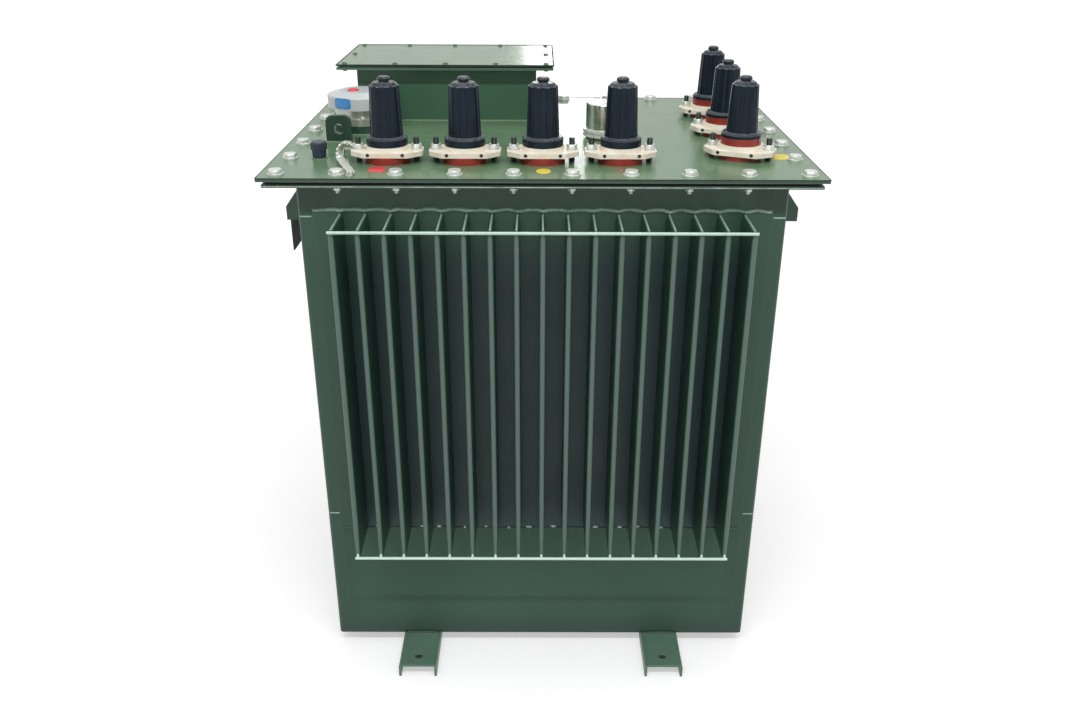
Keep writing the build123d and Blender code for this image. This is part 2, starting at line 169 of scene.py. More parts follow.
# %% [markdown]
# ## Shared effect 1: an uneven coat
# Sprayed paint and moulded skins are never quite even: the tone and the gloss drift over hand-sized
# patches, and the skin has a fine orange peel. A painted picture could show this, but noise in space needs
# no unwrapping and never repeats. One group gives the drifting colour, the drifting roughness and a height
# for the bump, and each finish sets its own scales.

# %% Effect: uneven coat
coat, given, made = new_group(
    "uneven_coat",
    [("Vector", VECTOR, (0, 0, 0)), ("Tone", COLOUR, GREY), ("Second Tone", COLOUR, GREY),
     ("Patch Scale", FLOAT, 5.0), ("Peel Scale", FLOAT, 400.0), ("Sag", FLOAT, 0.0),
     ("Roughness", FLOAT, 0.4), ("Drift", FLOAT, 0.1)],
    [("Color", COLOUR), ("Roughness", FLOAT), ("Height", FLOAT)],
)
patch = noise(coat, given["Vector"], given["Patch Scale"], 5.0, 0.6)
peel = noise(coat, given["Vector"], given["Peel Scale"], 2.0)
tones = blend(coat, ramp(coat, patch, 0.32, 0.68), given["Tone"], given["Second Tone"])
coat.links.new(tones, made["Color"])
smear = noise(coat, given["Vector"], sums(coat, "MULTIPLY", given["Patch Scale"], 2.7), 6.0, 0.65)
swing = sums(coat, "MULTIPLY", sums(coat, "SUBTRACT", smear, 0.5), given["Drift"])
coat.links.new(sums(coat, "ADD", given["Roughness"], swing), made["Roughness"])
coat.links.new(sums(coat, "ADD", peel, sums(coat, "MULTIPLY", patch, given["Sag"])), made["Height"])
print("uneven coat:", len(coat.nodes), "nodes")

# %% [markdown]
# ## Shared effect 2: settled dust
# Workshop dust lies on what faces up and hardly anywhere else. It could be brushed on by hand, but the
# upward part of the surface normal finds the same places on every piece. Two sizes of cloud break it up.

# %% Effect: settled dust
dust, given, made = new_group(
    "settled_dust",
    [("Vector", VECTOR, (0, 0, 0)), ("Color", COLOUR, GREY), ("Dust", COLOUR, GREY),
     ("Amount", FLOAT, 0.2)],
    [("Color", COLOUR), ("Mask", FLOAT)],
)
facing = place(dust, "ShaderNodeSeparateXYZ", {0: place(dust, "ShaderNodeNewGeometry", {})["Normal"]})["Z"]
drifts, specks = noise(dust, given["Vector"], 9.0, 6.0, 0.7), noise(dust, given["Vector"], 160.0, 3.0)
cloud = sums(dust, "MULTIPLY", drifts, specks)
film = sums(dust, "MULTIPLY", ramp(dust, facing, 0.35, 0.95), ramp(dust, cloud, 0.12, 0.42))
veil = sums(dust, "MULTIPLY", film, given["Amount"])
dust.links.new(blend(dust, veil, given["Color"], given["Dust"]), made["Color"])
dust.links.new(veil, made["Mask"])
print("settled dust:", len(dust.nodes), "nodes")

# %% [markdown]
# ## Shared effect 3: worn and highlit edges
# Paint is thin on an outer edge and wears pale there, and an edge catches the light, so the pale edge is
# partly wear and partly a painted highlight. The Bevel node gives the normal as if every edge were rounded;
# where it turns away from the true normal there is an edge, and noise breaks the line up. On moulded caps
# only the edges that face up catch the light, so a finish may ask for those alone; there the pale edge is a
# painted highlight.

# %% Effect: worn and highlit edges
rub, given, made = new_group(
    "worn_and_highlit_edges",
    [("Vector", VECTOR, (0, 0, 0)), ("Color", COLOUR, GREY), ("Edge Tone", COLOUR, GREY),
     ("Width", FLOAT, 0.002), ("Amount", FLOAT, 0.5), ("Upward", FLOAT, 0.0)],
    [("Color", COLOUR)],
)
rounded = place(rub, "ShaderNodeBevel", {"Radius": given["Width"]}, samples=4)["Normal"]
straight = place(rub, "ShaderNodeNewGeometry", {})["Normal"]
same = place(rub, "ShaderNodeVectorMath", {0: rounded, 1: straight}, operation="DOT_PRODUCT")["Value"]
broken = sums(rub, "ADD", 0.35, noise(rub, given["Vector"], 70.0, 5.0, 0.7))
edge = sums(rub, "MULTIPLY", ramp(rub, sums(rub, "SUBTRACT", 1.0, same), 0.02, 0.2), broken)
level_edge = ramp(rub, place(rub, "ShaderNodeSeparateXYZ", {0: rounded})["Z"], 0.2, 0.5)
any_edge = sums(rub, "SUBTRACT", 1.0, given["Upward"])
edge = sums(rub, "MULTIPLY", edge, sums(rub, "MAXIMUM", level_edge, any_edge))
edge_pale = place(rub, "ShaderNodeMath", {0: edge, 1: given["Amount"]}, operation="MULTIPLY", use_clamp=True)[0]
rub.links.new(blend(rub, edge_pale, given["Color"], given["Edge Tone"]), made["Color"])
print("rubbed edges:", len(rub.nodes), "nodes")

# %% [markdown]
# ## Coated finishes
# Most of the object is a skin over something else: green paint on the tank and the lid, cream paint on the
# castings, cast resin, moulded plastic, rubber and plated steel. Each could have a graph of its own, but
# they share one recipe of the three effects and differ in their values, so each is one call. What is the
# same all over a surface, such as the specular level, is set straight on the shader.

# %% Coated finishes
DUST = screen(176, 178, 168)
finishes = {}


def coated(name, tone, second, rough, drift, patch_scale=5.0, peel_scale=420.0, depth=0.03, sag=0.0,
           edge_pale=(188, 188, 188), edge_amount=0.0, width=2.0, upward=0.0, dusty=0.1, metal=0.0, specular=0.5,
           tint=None, rubbed_spans=()):
    """A skin with drifting tone and gloss, dust on top and pale edges, which are partly wear and partly a
    painted highlight. Colours are 0-255 screen values, and depth and width are in millimetres. A tone span
    (axis, low, high, colour) turns to its colour as the distance along the axis grows, in metres, and a fade
    (axis, start, end) lets it in along another axis. Several spans paint highlights and shade."""
    material, tree, shader, where = new_finish(name)
    skin = use_group(tree, coat, {
        "Vector": where, "Tone": screen(*tone), "Second Tone": screen(*second), "Patch Scale": patch_scale,
        "Peel Scale": peel_scale, "Sag": sag, "Roughness": rough, "Drift": drift,
    })
    colour, spot = skin["Color"], place(tree, "ShaderNodeSeparateXYZ", {0: where})
    for axis, low, high, pale, *fades in rubbed_spans:
        share = ramp(tree, sums(tree, "ABSOLUTE", spot[axis], 0.0), low, high)
        for other, fade_start, fade_end in fades:
            share = sums(tree, "MULTIPLY", share, ramp(tree, spot[other], fade_start, fade_end))
        colour = blend(tree, share, colour, screen(*pale))
    rubbed = use_group(tree, rub, {"Vector": where, "Color": colour, "Edge Tone": screen(*edge_pale),
                                   "Width": width * MM, "Amount": edge_amount, "Upward": upward})
    dusted = use_group(tree, dust, {"Vector": where, "Color": rubbed["Color"], "Dust": DUST,
                                    "Amount": dusty})
    bump = {"Height": skin["Height"], "Distance": depth * MM, "Strength": 1.0}
    relief = place(tree, "ShaderNodeBump", bump)["Normal"]
    matt = sums(tree, "ADD", skin["Roughness"], sums(tree, "MULTIPLY", dusted["Mask"], 0.5))
    fill(tree, shader, {"Base Color": dusted["Color"], "Roughness": matt, "Normal": relief})
    shader.inputs["Metallic"].default_value = metal
    shader.inputs["Specular IOR Level"].default_value = specular
    if tint:
        shader.inputs["Specular Tint"].default_value = tint
    finishes[name] = material
    print("finish", name)


# %% [markdown]
# ## Where the paint changes
# One green covers the tank, but its tone changes from place to place. Painted shade makes it dark and bluish
# at the wall deep between the fins and darker on the band under the flange towards its ends, and painted
# highlights make the fins' tips and tops pale. It is also darker at the tank's corners and near the floor,
# the lid's side faces get painted shade and the lower rods a painted highlight. Separate materials would
# leave hard borders, so each change is a soft span along an axis. The limits come from the CAD boxes.

# %% Where the paint changes
fin_low, fin_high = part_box("front_fin_panel")
wall_out = -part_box("front_skirt")[0].y
fin_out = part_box("front_fin_rods")[1].x
lid_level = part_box("tank_lid")[1].z
FIN_TOPS = fin_high.z - 4 * MM, fin_high.z - 1 * MM
FIN_TIPS = -fin_low.y - 6 * MM, -fin_low.y - 2 * MM
AT_WALL = wall_out + 12 * MM, wall_out + 3 * MM
PAST_FINS = fin_out + 1 * MM, fin_out + 2 * MM
DEEP_DOWN = fin_high.z - 40 * MM, fin_high.z - 110 * MM
ABOVE_FINS = fin_high.z - 10 * MM, fin_high.z + 10 * MM
TANK_CORNERS, BAND_ENDS = (405 * MM, 435 * MM), (370 * MM, 410 * MM)
TANK_FOOT, LOWER_RODS = (90 * MM, 45 * MM), (600 * MM, 400 * MM)
LID_SIDES = lid_level - 1 * MM, lid_level - 3 * MM
PLAIN_WALL = (43, 75, 59)
# Fin spans: the pale fin tops and tips are painted highlights, the dark bluish wall deep between the fins is
# painted shade, and the wall itself is a darker green.
FIN_HIGHLIGHT_AND_SHADE = [("Z", *FIN_TOPS, (150, 182, 164)), ("Y", *AT_WALL, PLAIN_WALL),
            ("Y", *AT_WALL, (26, 60, 62), ("Z", *DEEP_DOWN)), ("X", *PAST_FINS, PLAIN_WALL),
            ("Y", *FIN_TIPS, (84, 106, 97))]
# Tank spans: darker at the corners and near the floor, and painted shade on the band under the flange
# towards its ends.
TANK_DARKENING_AND_SHADE = [("X", *TANK_CORNERS, (43, 76, 60)), ("Z", *TANK_FOOT, (43, 70, 58)),
         ("X", *BAND_ENDS, (30, 58, 46), ("Z", *ABOVE_FINS))]
# Skirt spans: darker at the corners and near the floor.
SKIRT_DARKENING = [("X", *TANK_CORNERS, (69, 93, 81)), ("Z", *TANK_FOOT, (68, 88, 79))]
# Painted shade on the lid's side faces below its top.
LID_SIDE_SHADE = [("Z", *LID_SIDES, (50, 72, 58))]
# Painted highlight: the lower rods are paler.
LOWER_ROD_HIGHLIGHT = [("Z", *LOWER_RODS, (208, 234, 222))]
print("paint changes at the wall", wall_out, "and the fin tops", fin_high.z)

# %% [markdown]
# ## Green paint
# The tank, its feet and its flange are sprayed in one coat that sags a little and wears pale at the edges.
# The skirt is kept less glossy, so that the feet don't mirror themselves in it, and its lighter tone is
# painted light in return for the reflection it loses. The feet's lighter tone is painted light on their lit
# tops, and the flange's darker tone is painted shade under the lid. The bracket hangs in the shade, and its
# near-black tone is painted shade. They are one helper's calls, because only their tones and wear differ.

# %% Green paint
PALE_EDGE = (150, 172, 158)
TANK_GREENS = (52, 84, 69), (46, 77, 64)


def green_paint(name, tone, second, rough=0.34, patch_scale=5.0, edge_amount=0.6, dusty=0.12, specular=0.4,
                **more):
    """The tank's green with its sags and pale edges."""
    coated(name, tone, second, rough, 0.16, patch_scale, sag=6.0, edge_pale=PALE_EDGE, edge_amount=edge_amount, dusty=dusty,
           specular=specular, **more)


green_paint("tank_paint", *TANK_GREENS, edge_amount=0.08, width=2.5, rubbed_spans=TANK_DARKENING_AND_SHADE)
green_paint("fin_paint", *TANK_GREENS, edge_amount=0.08, rubbed_spans=FIN_HIGHLIGHT_AND_SHADE)
# The skirt's lighter tone is painted light that stands in for the reflection it loses.
green_paint("skirt_paint", (74, 100, 88), (69, 94, 84), 0.4, edge_amount=0.08, width=2.5, specular=0.1,
            rubbed_spans=SKIRT_DARKENING)
# The flange's darker tone is painted shade under the lid.
green_paint("flange_paint", (40, 62, 52), (34, 54, 46), edge_amount=0.3)
green_paint("turret_paint", (66, 104, 80), (58, 94, 72))
# The feet's lighter tone is painted light on their lit tops.
green_paint("foot_paint", (92, 128, 108), (82, 116, 97), 0.4, 12.0)
# Near-black painted shade for the bracket, which hangs in the shade; the lid rims use it too.
green_paint("shaded_paint", (24, 34, 31), (18, 27, 25), 0.45, 12.0, edge_amount=0.3, dusty=0.1, specular=0.2)

# %% [markdown]
# ## Glossy paint
# The rods and the seams are round, so they catch the light along their whole length, and their pale tone is
# a painted highlight of it. The lid is glossy enough to mirror the hall, and its tone, lighter than the
# tank's green, is painted light on its top. A clear coat could be laid over the paint, but a paler tone with
# less roughness looks the same on a skin this even. A slight green in the lid's specular tint gives its
# reflections the paint's own cast.

# %% Glossy paint
LID_TINT = (0.92, 1.0, 0.9, 1.0)
# The rods' pale tone is a painted highlight of the light they catch.
coated("rod_paint_with_highlight", (190, 216, 202), (172, 200, 186), 0.24, 0.14, 40.0, edge_pale=PALE_EDGE, edge_amount=0.2,
       specular=0.6, rubbed_spans=LOWER_ROD_HIGHLIGHT)
# The seams' pale tone is a painted highlight; the flange line and the corner ticks take it too.
coated("seam_paint_with_highlight", (176, 206, 190), (112, 142, 126), 0.26, 0.16, 30.0, edge_pale=PALE_EDGE, edge_amount=0.2)
# The lid's tone, lighter than the tank's green, is painted light on its top, and its side faces take painted
# shade.
coated("lid_paint", (94, 126, 92), (86, 118, 88), 0.21, 0.16, 7.0, sag=14.0, edge_pale=PALE_EDGE, edge_amount=0.6,
       dusty=0.12, specular=0.42, tint=LID_TINT, rubbed_spans=LID_SIDE_SHADE)

# %% [markdown]
# ## Resin, rubber and plastic
# The bushings are cast in red epoxy resin, the dust caps and the plug are dark mouldings, and the gaskets
# are rubber. They differ mostly in gloss. The caps' pale upper edges are a painted highlight of the light
# from above. The signal marks and the tag are plain coloured plastic.

# %% Resin, rubber and plastic
coated("gasket", (26, 28, 28), (34, 36, 35), 0.75, 0.1, 30.0, 900.0, dusty=0.15)
coated("epoxy", (150, 50, 38), (128, 38, 30), 0.32, 0.16, 26.0, 700.0, 0.02, edge_pale=(186, 92, 76), edge_amount=0.35)
# Painted highlight: the pale colour on the caps' upper edges.
coated("dust_cap", (24, 37, 50), (17, 28, 40), 0.22, 0.12, 24.0, 800.0, 0.01, edge_pale=(168, 182, 194),
       edge_amount=1.0, width=2.2, upward=1.0, dusty=0.3, specular=0.16)
coated("plug", (42, 54, 68), (34, 44, 58), 0.42, 0.12, 40.0, 900.0, 0.03, edge_pale=(90, 95, 108), edge_amount=0.4,
       width=1.0, dusty=0.08)
coated("red_mark", (226, 74, 82), (206, 58, 66), 0.4, 0.14, 40.0, 600.0, 0.02, dusty=0.06)
coated("yellow_mark", (226, 210, 70), (206, 188, 52), 0.4, 0.14, 40.0, 600.0, 0.02)
coated("blue_tag", (70, 146, 206), (52, 122, 186), 0.3, 0.1, 40.0, 600.0, 0.01)

# %% [markdown]
# ## Castings and plated steel
# The clamps are cast and painted cream, the valve is plated, and bolts are zinc plated or blackened.
# Plating is never a clean mirror: it is a mix of a metal and a pale film, so the metal share lies between 0
# and 1.

# %% Castings and plated steel
coated("clamp", (240, 234, 220), (228, 216, 196), 0.4, 0.2, 38.0, 900.0, 0.06, edge_pale=(246, 236, 214),
       edge_amount=0.5, dusty=0.05)
coated("valve_body", (196, 198, 186), (168, 172, 160), 0.36, 0.2, 30.0, 600.0, 0.03, edge_pale=(230, 232, 226),
       edge_amount=0.4, dusty=0.08, metal=0.85)
coated("valve_cap", (198, 205, 204), (182, 190, 190), 0.34, 0.14, 14.0, 600.0, 0.03, edge_pale=(236, 238, 236),
       edge_amount=0.4, dusty=0.06)
coated("zinc", (226, 230, 224), (202, 208, 201), 0.34, 0.16, 60.0, 900.0, 0.02, edge_pale=(238, 240, 236),
       edge_amount=0.3, width=1.0, dusty=0.05, metal=0.55)
coated("bright_steel", (232, 236, 230), (210, 216, 210), 0.28, 0.16, 40.0, 900.0, 0.02,
       edge_pale=(246, 246, 242), edge_amount=0.4, width=1.0, dusty=0.05, metal=0.3)
coated("blackened", (56, 66, 60), (38, 46, 42), 0.36, 0.2, 60.0, 900.0, 0.02, edge_pale=(120, 122, 118),
       edge_amount=0.5, width=1.0, dusty=0.05, metal=0.6)

# %% [markdown]
# ## Brushed stainless steel for the filler
# The filler is turned from stainless bar. Turning leaves fine level rings round it. Rings could be cut as
# grooves, but they are finer than a hair, so the noise that drives the gloss and the bump is squeezed in
# height and left long round the piece.

# %% Brushed steel
RINGS_PER_METRE = 900.0
filler_steel, tree, shader, where = new_finish("filler")
squeeze = {"Vector": where, "Scale": (6.0, 6.0, RINGS_PER_METRE)}
squeezed = place(tree, "ShaderNodeMapping", squeeze)["Vector"]
turning = noise(tree, squeezed, 1.0, 4.0, 0.7)
tarnish = noise(tree, where, 30.0, 5.0)
grooves = {"Height": turning, "Distance": 0.02 * MM, "Strength": 1.0}
STEEL_TONES = screen(226, 229, 222), screen(200, 204, 196)
fill(tree, shader, {
    "Base Color": blend(tree, ramp(tree, tarnish, 0.35, 0.65), *STEEL_TONES),
    "Roughness": sums(tree, "ADD", 0.12, sums(tree, "MULTIPLY", turning, 0.2)),
    "Normal": place(tree, "ShaderNodeBump", grooves)["Normal"],
})
shader.inputs["Metallic"].default_value = 1.0
finishes["filler"] = filler_steel
print("brushed steel ready")

# %% [markdown]
# ## Tinned braid for the earthing strap
# The strap is woven from tinned copper. Weaving every strand would take far more faces than the strap is
# worth, so two sets of slanting waves that cross each other give the weave, high where a bundle passes over
# and dark in the gaps; that dark is painted shade.

# %% Tinned braid
BUNDLES_PER_METRE = 110.0
braid, tree, shader, where = new_finish("strap")
SLANT = math.radians(40)


def slanting_waves(slant):
    """Waves across the strap at one slant, between 0 and 1."""
    turned = place(tree, "ShaderNodeMapping", {"Vector": where, "Rotation": (0.0, 0.0, slant)})["Vector"]
    waves = {"Vector": turned, "Scale": BUNDLES_PER_METRE, "Distortion": 0.6}
    return place(tree, "ShaderNodeTexWave", waves)["Fac"]


weave = sums(tree, "MAXIMUM", slanting_waves(SLANT), slanting_waves(-SLANT))
ridges = {"Height": weave, "Distance": 0.4 * MM, "Strength": 1.0}
# The dark gaps between the bundles are painted shade.
fill(tree, shader, {
    "Base Color": blend(tree, weave, screen(112, 118, 110), screen(216, 220, 210)),
    "Roughness": sums(tree, "ADD", 0.55, sums(tree, "MULTIPLY", weave, -0.2)),
    "Normal": place(tree, "ShaderNodeBump", ridges)["Normal"],
})
shader.inputs["Metallic"].default_value = 0.7
finishes["strap"] = braid
print("braid ready")

# %% [markdown]
# ## Finish the CAD pieces
# The record names a material slot for every CAD piece. Reading the slots from the record means that a piece
# can't be forgotten: a slot with no finish stops the script. Where the paint looks different, as on the rods
# and fins with their painted highlights and shade, the skirt and the feet with their painted light, and the
# flange and the bracket with their painted shade, the piece gets a finish of its own.

# %% Finish the CAD pieces
SPECIAL_FINISH = {
    "front_fin_rods": "rod_paint_with_highlight", "rear_fin_rods": "rod_paint_with_highlight", "front_fin_panel": "fin_paint",
    "rear_fin_panel": "fin_paint", "turret_long_walls": "turret_paint", "turret_side_walls": "turret_paint",
    "tank_flange_long_bars": "flange_paint", "tank_flange_side_bars": "flange_paint",
    "filler_neck": "bright_steel", "left_lid_lug": "tank_paint", "right_lid_lug": "tank_paint",
    "left_foot_channel": "foot_paint", "right_foot_channel": "foot_paint",
    "nameplate_bracket": "shaded_paint", "front_skirt": "skirt_paint", "rear_skirt": "skirt_paint",
}
for part in frame["record"]["subparts"]:
    mesh = nodes[part["node"]].data
    mesh.materials.clear()
    mesh.materials.append(finishes[SPECIAL_FINISH.get(part["node"], part["material_slot"])])

# %% [markdown]
# ## From arrays to pieces
# Every new piece is a grid of points: rings that run along the piece, and sides that run round it. Copies
# of a shape are one more axis of the array, so that all bolts of a kind are worked out at once. A ring that
# shrinks to a point closes an end; merging its points turns the quads there into triangles. Blender's own
# primitives could be joined instead, but a formula says how the piece is shaped and can be changed in one
# place.

# %% From arrays to pieces
SAME_POINT = 1e-6


def new_piece(name, grid, finish, crease=32.0):
    """Make one object from points (copies, rings, sides, 3): quads join each ring to the next, and the last
    side to the first. Points that coincide are merged, and the faces are turned outwards."""
    copies, rings, sides = grid.shape[:3]
    ring, side = np.arange(rings - 1)[:, None], np.arange(sides)[None, :]
    after = (side + 1) % sides
    here, there = ring * sides, (ring + 1) * sides
    quads = np.stack([here + side, here + after, there + after, there + side], axis=-1).reshape(1, -1, 4)
    quads = (quads + np.arange(copies)[:, None, None] * rings * sides).reshape(-1, 4)
    mesh = bpy.data.meshes.new(name)
    mesh.from_pydata(grid.reshape(-1, 3), [], quads)
    shell = bmesh.new()
    shell.from_mesh(mesh)
    bmesh.ops.remove_doubles(shell, verts=shell.verts, dist=SAME_POINT)
    bmesh.ops.recalc_face_normals(shell, faces=shell.faces)
    shell.to_mesh(mesh)
    shell.free()
    mesh.polygons.foreach_set("use_smooth", np.ones(len(mesh.polygons), bool))
    mesh.set_sharp_from_angle(angle=math.radians(crease))
    mesh.materials.append(finishes[finish])
    piece = bpy.data.objects.new(name, mesh)
    bpy.context.scene.collection.objects.link(piece)
    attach(piece, "root")
    print(name, copies, "copies,", len(mesh.polygons), "faces")
    return piece


def across(axis):
    """Two unit directions at right angles to each axis, so that the three make a right-handed set."""
    axis = np.asarray(axis, float)
    helper = np.where(np.abs(axis[:, 2:]) > 0.9, [[1.0, 0.0, 0.0]], [[0.0, 0.0, 1.0]])
    first = np.cross(helper, axis)
    first /= np.linalg.norm(first, axis=1, keepdims=True)
    return first, np.cross(axis, first)


# %% [markdown]
# ## Bolts, nuts and washers
# A fastener is turned from a bar and has hexagon stretches for the spanner. It could be cut from a cylinder
# with modifiers, but taking the smaller of a circle and a hexagon at each height gives the chamfers as
# well. Each copy is spun by chance, because nobody lines up bolt heads.

# %% Bolts, nuts and washers
UP, DOWN = (0.0, 0.0, 1.0), (0.0, 0.0, -1.0)
ROUND = np.inf
dice = np.random.default_rng(41)


def fasteners(name, rings, seats, finish="zinc", axis=UP, sides=24):
    """Turned pieces with hexagon stretches. At each ring (height, circle, flat), in millimetres, the radius
    is the smaller of a circle and a hexagon: min(circle, flat / cos(angle folded into +-30 degrees))."""
    height, circle, flat = np.array(rings, float).T[:, :, None] * MM
    angle = np.linspace(0.0, 2.0 * np.pi, sides, endpoint=False)
    folded = (angle + np.pi / 6) % (np.pi / 3) - np.pi / 6
    radius = np.minimum(circle, flat / np.cos(folded))
    seats = np.asarray(seats, float)
    axis = np.broadcast_to(np.asarray(axis, float), seats.shape)
    first, second = across(axis)
    spin = angle + dice.uniform(0.0, np.pi / 3, (len(seats), 1))
    round_way = np.cos(spin)[..., None] * first[:, None] + np.sin(spin)[..., None] * second[:, None]
    grid = seats[:, None, None] + radius[None, :, :, None] * round_way[:, None]
    grid = grid + height[None, :, :, None] * axis[:, None, None]
    return new_piece(name, grid, finish)


# %% [markdown]
# ## Lid bolts
# The lid is held by a row of plated bolts all round, each with a plain washer, and a nut and a bit of
# thread show under the flange, except at the corners, where the bolt is tapped into it. The places could be
# typed in one by one, but they are even steps along the lid's edges. The heights come from the CAD lid and
# flange, so that every washer sits on its plate.

# %% Lid bolts
lid_low, lid_high = (np.array(corner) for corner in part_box("tank_lid"))
flange_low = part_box("tank_flange_long_bars")[0].z
BOLT_INSET, REAR_INSET = 31 * MM, 24 * MM
INNER_PITCH, INNER_COUNT, SHORT_COUNT = 109 * MM, 8, 7
inner_x = (np.arange(INNER_COUNT) - (INNER_COUNT - 1) / 2) * INNER_PITCH
bolt_x = np.concatenate([[lid_low[0] + BOLT_INSET], inner_x, [lid_high[0] - BOLT_INSET]])
bolt_y = np.linspace(lid_low[1] + BOLT_INSET, lid_high[1] - REAR_INSET, SHORT_COUNT)
long_rows = np.array([(x, y) for x in bolt_x for y in bolt_y[[0, -1]]])
short_rows = np.array([(x, y) for x in bolt_x[[0, -1]] for y in bolt_y[1:-1]])
bolt_places = np.vstack([long_rows, short_rows])


def lifted(places, level):
    """Points (x, y) with one height added to all of them."""
    return np.column_stack([places, np.full(len(places), level)])


WASHER = [(0, 0, ROUND), (0, 15.5, ROUND), (2.4, 15.5, ROUND), (3, 14.8, ROUND), (3, 11.5, ROUND)]
HEX_HEAD = [(3.3, 11.5, 12), (3.6, 13.4, 12), (8.6, 13.4, 12), (10, 11.6, 12), (10.2, 9.4, ROUND),
            (10.2, 0, ROUND)]
NUT = [(2.2, 7.4, 7.4), (2.5, 8.4, 7.6), (8.4, 8.4, 7.6), (9.2, 7.6, 7.6), (9.2, 5, ROUND)]
BOLT_END = [(9.2, 4.2, ROUND), (10.4, 4.5, ROUND), (11, 3.9, ROUND), (12.2, 4.5, ROUND), (12.8, 3.9, ROUND),
            (14, 4.4, ROUND), (15, 3.4, ROUND), (15, 0, ROUND)]
UNDER_WASHER = [(0, 0, ROUND), (0, 8.8, ROUND), (1.6, 8.8, ROUND), (2, 8.3, ROUND), (2, 7, ROUND)]
fasteners("lid_bolts", WASHER + HEX_HEAD, lifted(bolt_places, lid_high[2]))
inner_rows = np.array([(x, y) for x in inner_x for y in bolt_y[[0, -1]]])
nut_places = np.vstack([inner_rows, short_rows])
UNDER_FLANGE = UNDER_WASHER + NUT + BOLT_END
fasteners("flange_nuts", UNDER_FLANGE, lifted(nut_places, flange_low), "bright_steel", axis=DOWN)

# %% [markdown]
# ## Turret bolts
# The hand-hole lid has small low bolts close to its edge, painted over with the lid: five along the front
# and the rear and one in the middle of each end. The same outline hangs upside down under the lip as a nut,
# because both are low painted hexagons there.

# %% Turret bolts
turret_low, turret_high = (np.array(corner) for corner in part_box("turret_lid"))
TURRET_INSET, TURRET_LIP = 16 * MM, 5 * MM
lip_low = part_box("turret_gasket")[0].z - TURRET_LIP
turret_x = np.linspace(turret_low[0] + TURRET_INSET, turret_high[0] - TURRET_INSET, 5)
turret_y = np.linspace(turret_low[1] + TURRET_INSET, turret_high[1] - TURRET_INSET, 3)
turret_places = np.vstack([[(x, y) for x in turret_x for y in turret_y[[0, 2]]],
                           [(x, turret_y[1]) for x in turret_x[[0, 4]]]])
SMALL_HEAD = [(0, 0, ROUND), (0, 6, ROUND), (0.8, 6, ROUND), (1, 4.2, ROUND), (1.1, 5.2, 4.7),
              (3.2, 5.2, 4.7), (3.8, 4.4, 4.7), (3.8, 0, ROUND)]
fasteners("turret_bolts", SMALL_HEAD, lifted(turret_places, turret_high[2]), "lid_paint")
fasteners("turret_nuts", SMALL_HEAD, lifted(turret_places, lip_low), "tank_paint", DOWN)

# %% [markdown]
# ## Clamp studs
# Each bushing clamp is pulled down by two studs. A thread could be faked with a bump, but its outline shows
# against the pale ground. It is a small ridge that climbs one pitch a turn, so the stud's radius is a
# zigzag of height / pitch - angle / turn. A nut and a washer sit on the clamp.

# %% Clamp studs
LV_CAPS = [f"lv_dust_cap_{number}" for number in (1, 2, 3, 4)]
HV_CAPS = [f"hv_dust_cap_{number}" for number in (1, 2, 3)]
STUD_OUT, STUD_RADIUS, STUD_ABOVE, STUD_PITCH = 56 * MM, 6 * MM, 23 * MM, 1.75 * MM
THREAD_DEPTH, RINGS_PER_PITCH = 0.55, 5
CLAMP_PLATE = 9 * MM
HV_TURN = math.radians(-24)


def middles(names):
    """The (x, y) middles of some CAD pieces."""
    return np.array([[(low + high) / 2 for low, high in zip(*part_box(name))][:2] for name in names])


lv_middles, hv_middles = middles(LV_CAPS), middles(HV_CAPS)
lv_along = np.array([1.0, 0.0])
hv_along = np.array([math.cos(HV_TURN), math.sin(HV_TURN)])
lv_clamp_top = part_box("lv_bushing_clamps")[0].z + CLAMP_PLATE
hv_clamp_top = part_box("hv_bushing_clamps")[0].z + CLAMP_PLATE
lv_studs = np.vstack([lv_middles - STUD_OUT * lv_along, lv_middles + STUD_OUT * lv_along])
hv_studs = np.vstack([hv_middles - STUD_OUT * hv_along, hv_middles + STUD_OUT * hv_along])


def studs(name, places, top, sides=16):
    """Threaded rods: radius(angle, height) = radius - depth * |zigzag(height / pitch - angle / turn)|."""
    radius, pitch, length = STUD_RADIUS, STUD_PITCH, top - lid_high[2]
    depth = THREAD_DEPTH * pitch
    height = np.linspace(0.0, length, int(RINGS_PER_PITCH * length / pitch))[:, None] * np.ones((1, sides))
    angle = np.linspace(0.0, 2.0 * np.pi, sides, endpoint=False)[None, :]
    zigzag = np.abs(2.0 * ((height / pitch - angle / (2.0 * np.pi)) % 1.0) - 1.0)
    reach = radius - depth * zigzag
    reach[[0, -1]] = 0.0
    reach[[1, -2]] = radius - depth
    height[1], height[-2] = 0.0, length
    rod = np.stack([reach * np.cos(angle), reach * np.sin(angle), height], axis=-1)
    seats = lifted(places, lid_high[2])
    return new_piece(name, seats[:, None, None] + rod[None], "blackened", 60.0)


STUD_NUT = [(0, 0, ROUND), (0, 12, ROUND), (1.8, 12, ROUND), (2, 9, ROUND), (2.2, 10.4, 9.5),
            (9.6, 10.4, 9.5), (10.6, 9.2, 9.5), (10.6, 0, ROUND)]
studs("lv_clamp_studs", lv_studs, lv_clamp_top + STUD_ABOVE)
studs("hv_clamp_studs", hv_studs, hv_clamp_top + STUD_ABOVE)
fasteners("lv_clamp_nuts", STUD_NUT, lifted(lv_studs, lv_clamp_top))
fasteners("hv_clamp_nuts", STUD_NUT, lifted(hv_studs, hv_clamp_top))

# %% [markdown]
# ## Clamp screws
# Two dark screw ends show on the long faces of each clamp. Holes could be cut there, but a shallow cone let
# into the face, on an axis that follows the clamp's turn, shows the same dark dot with a few faces.

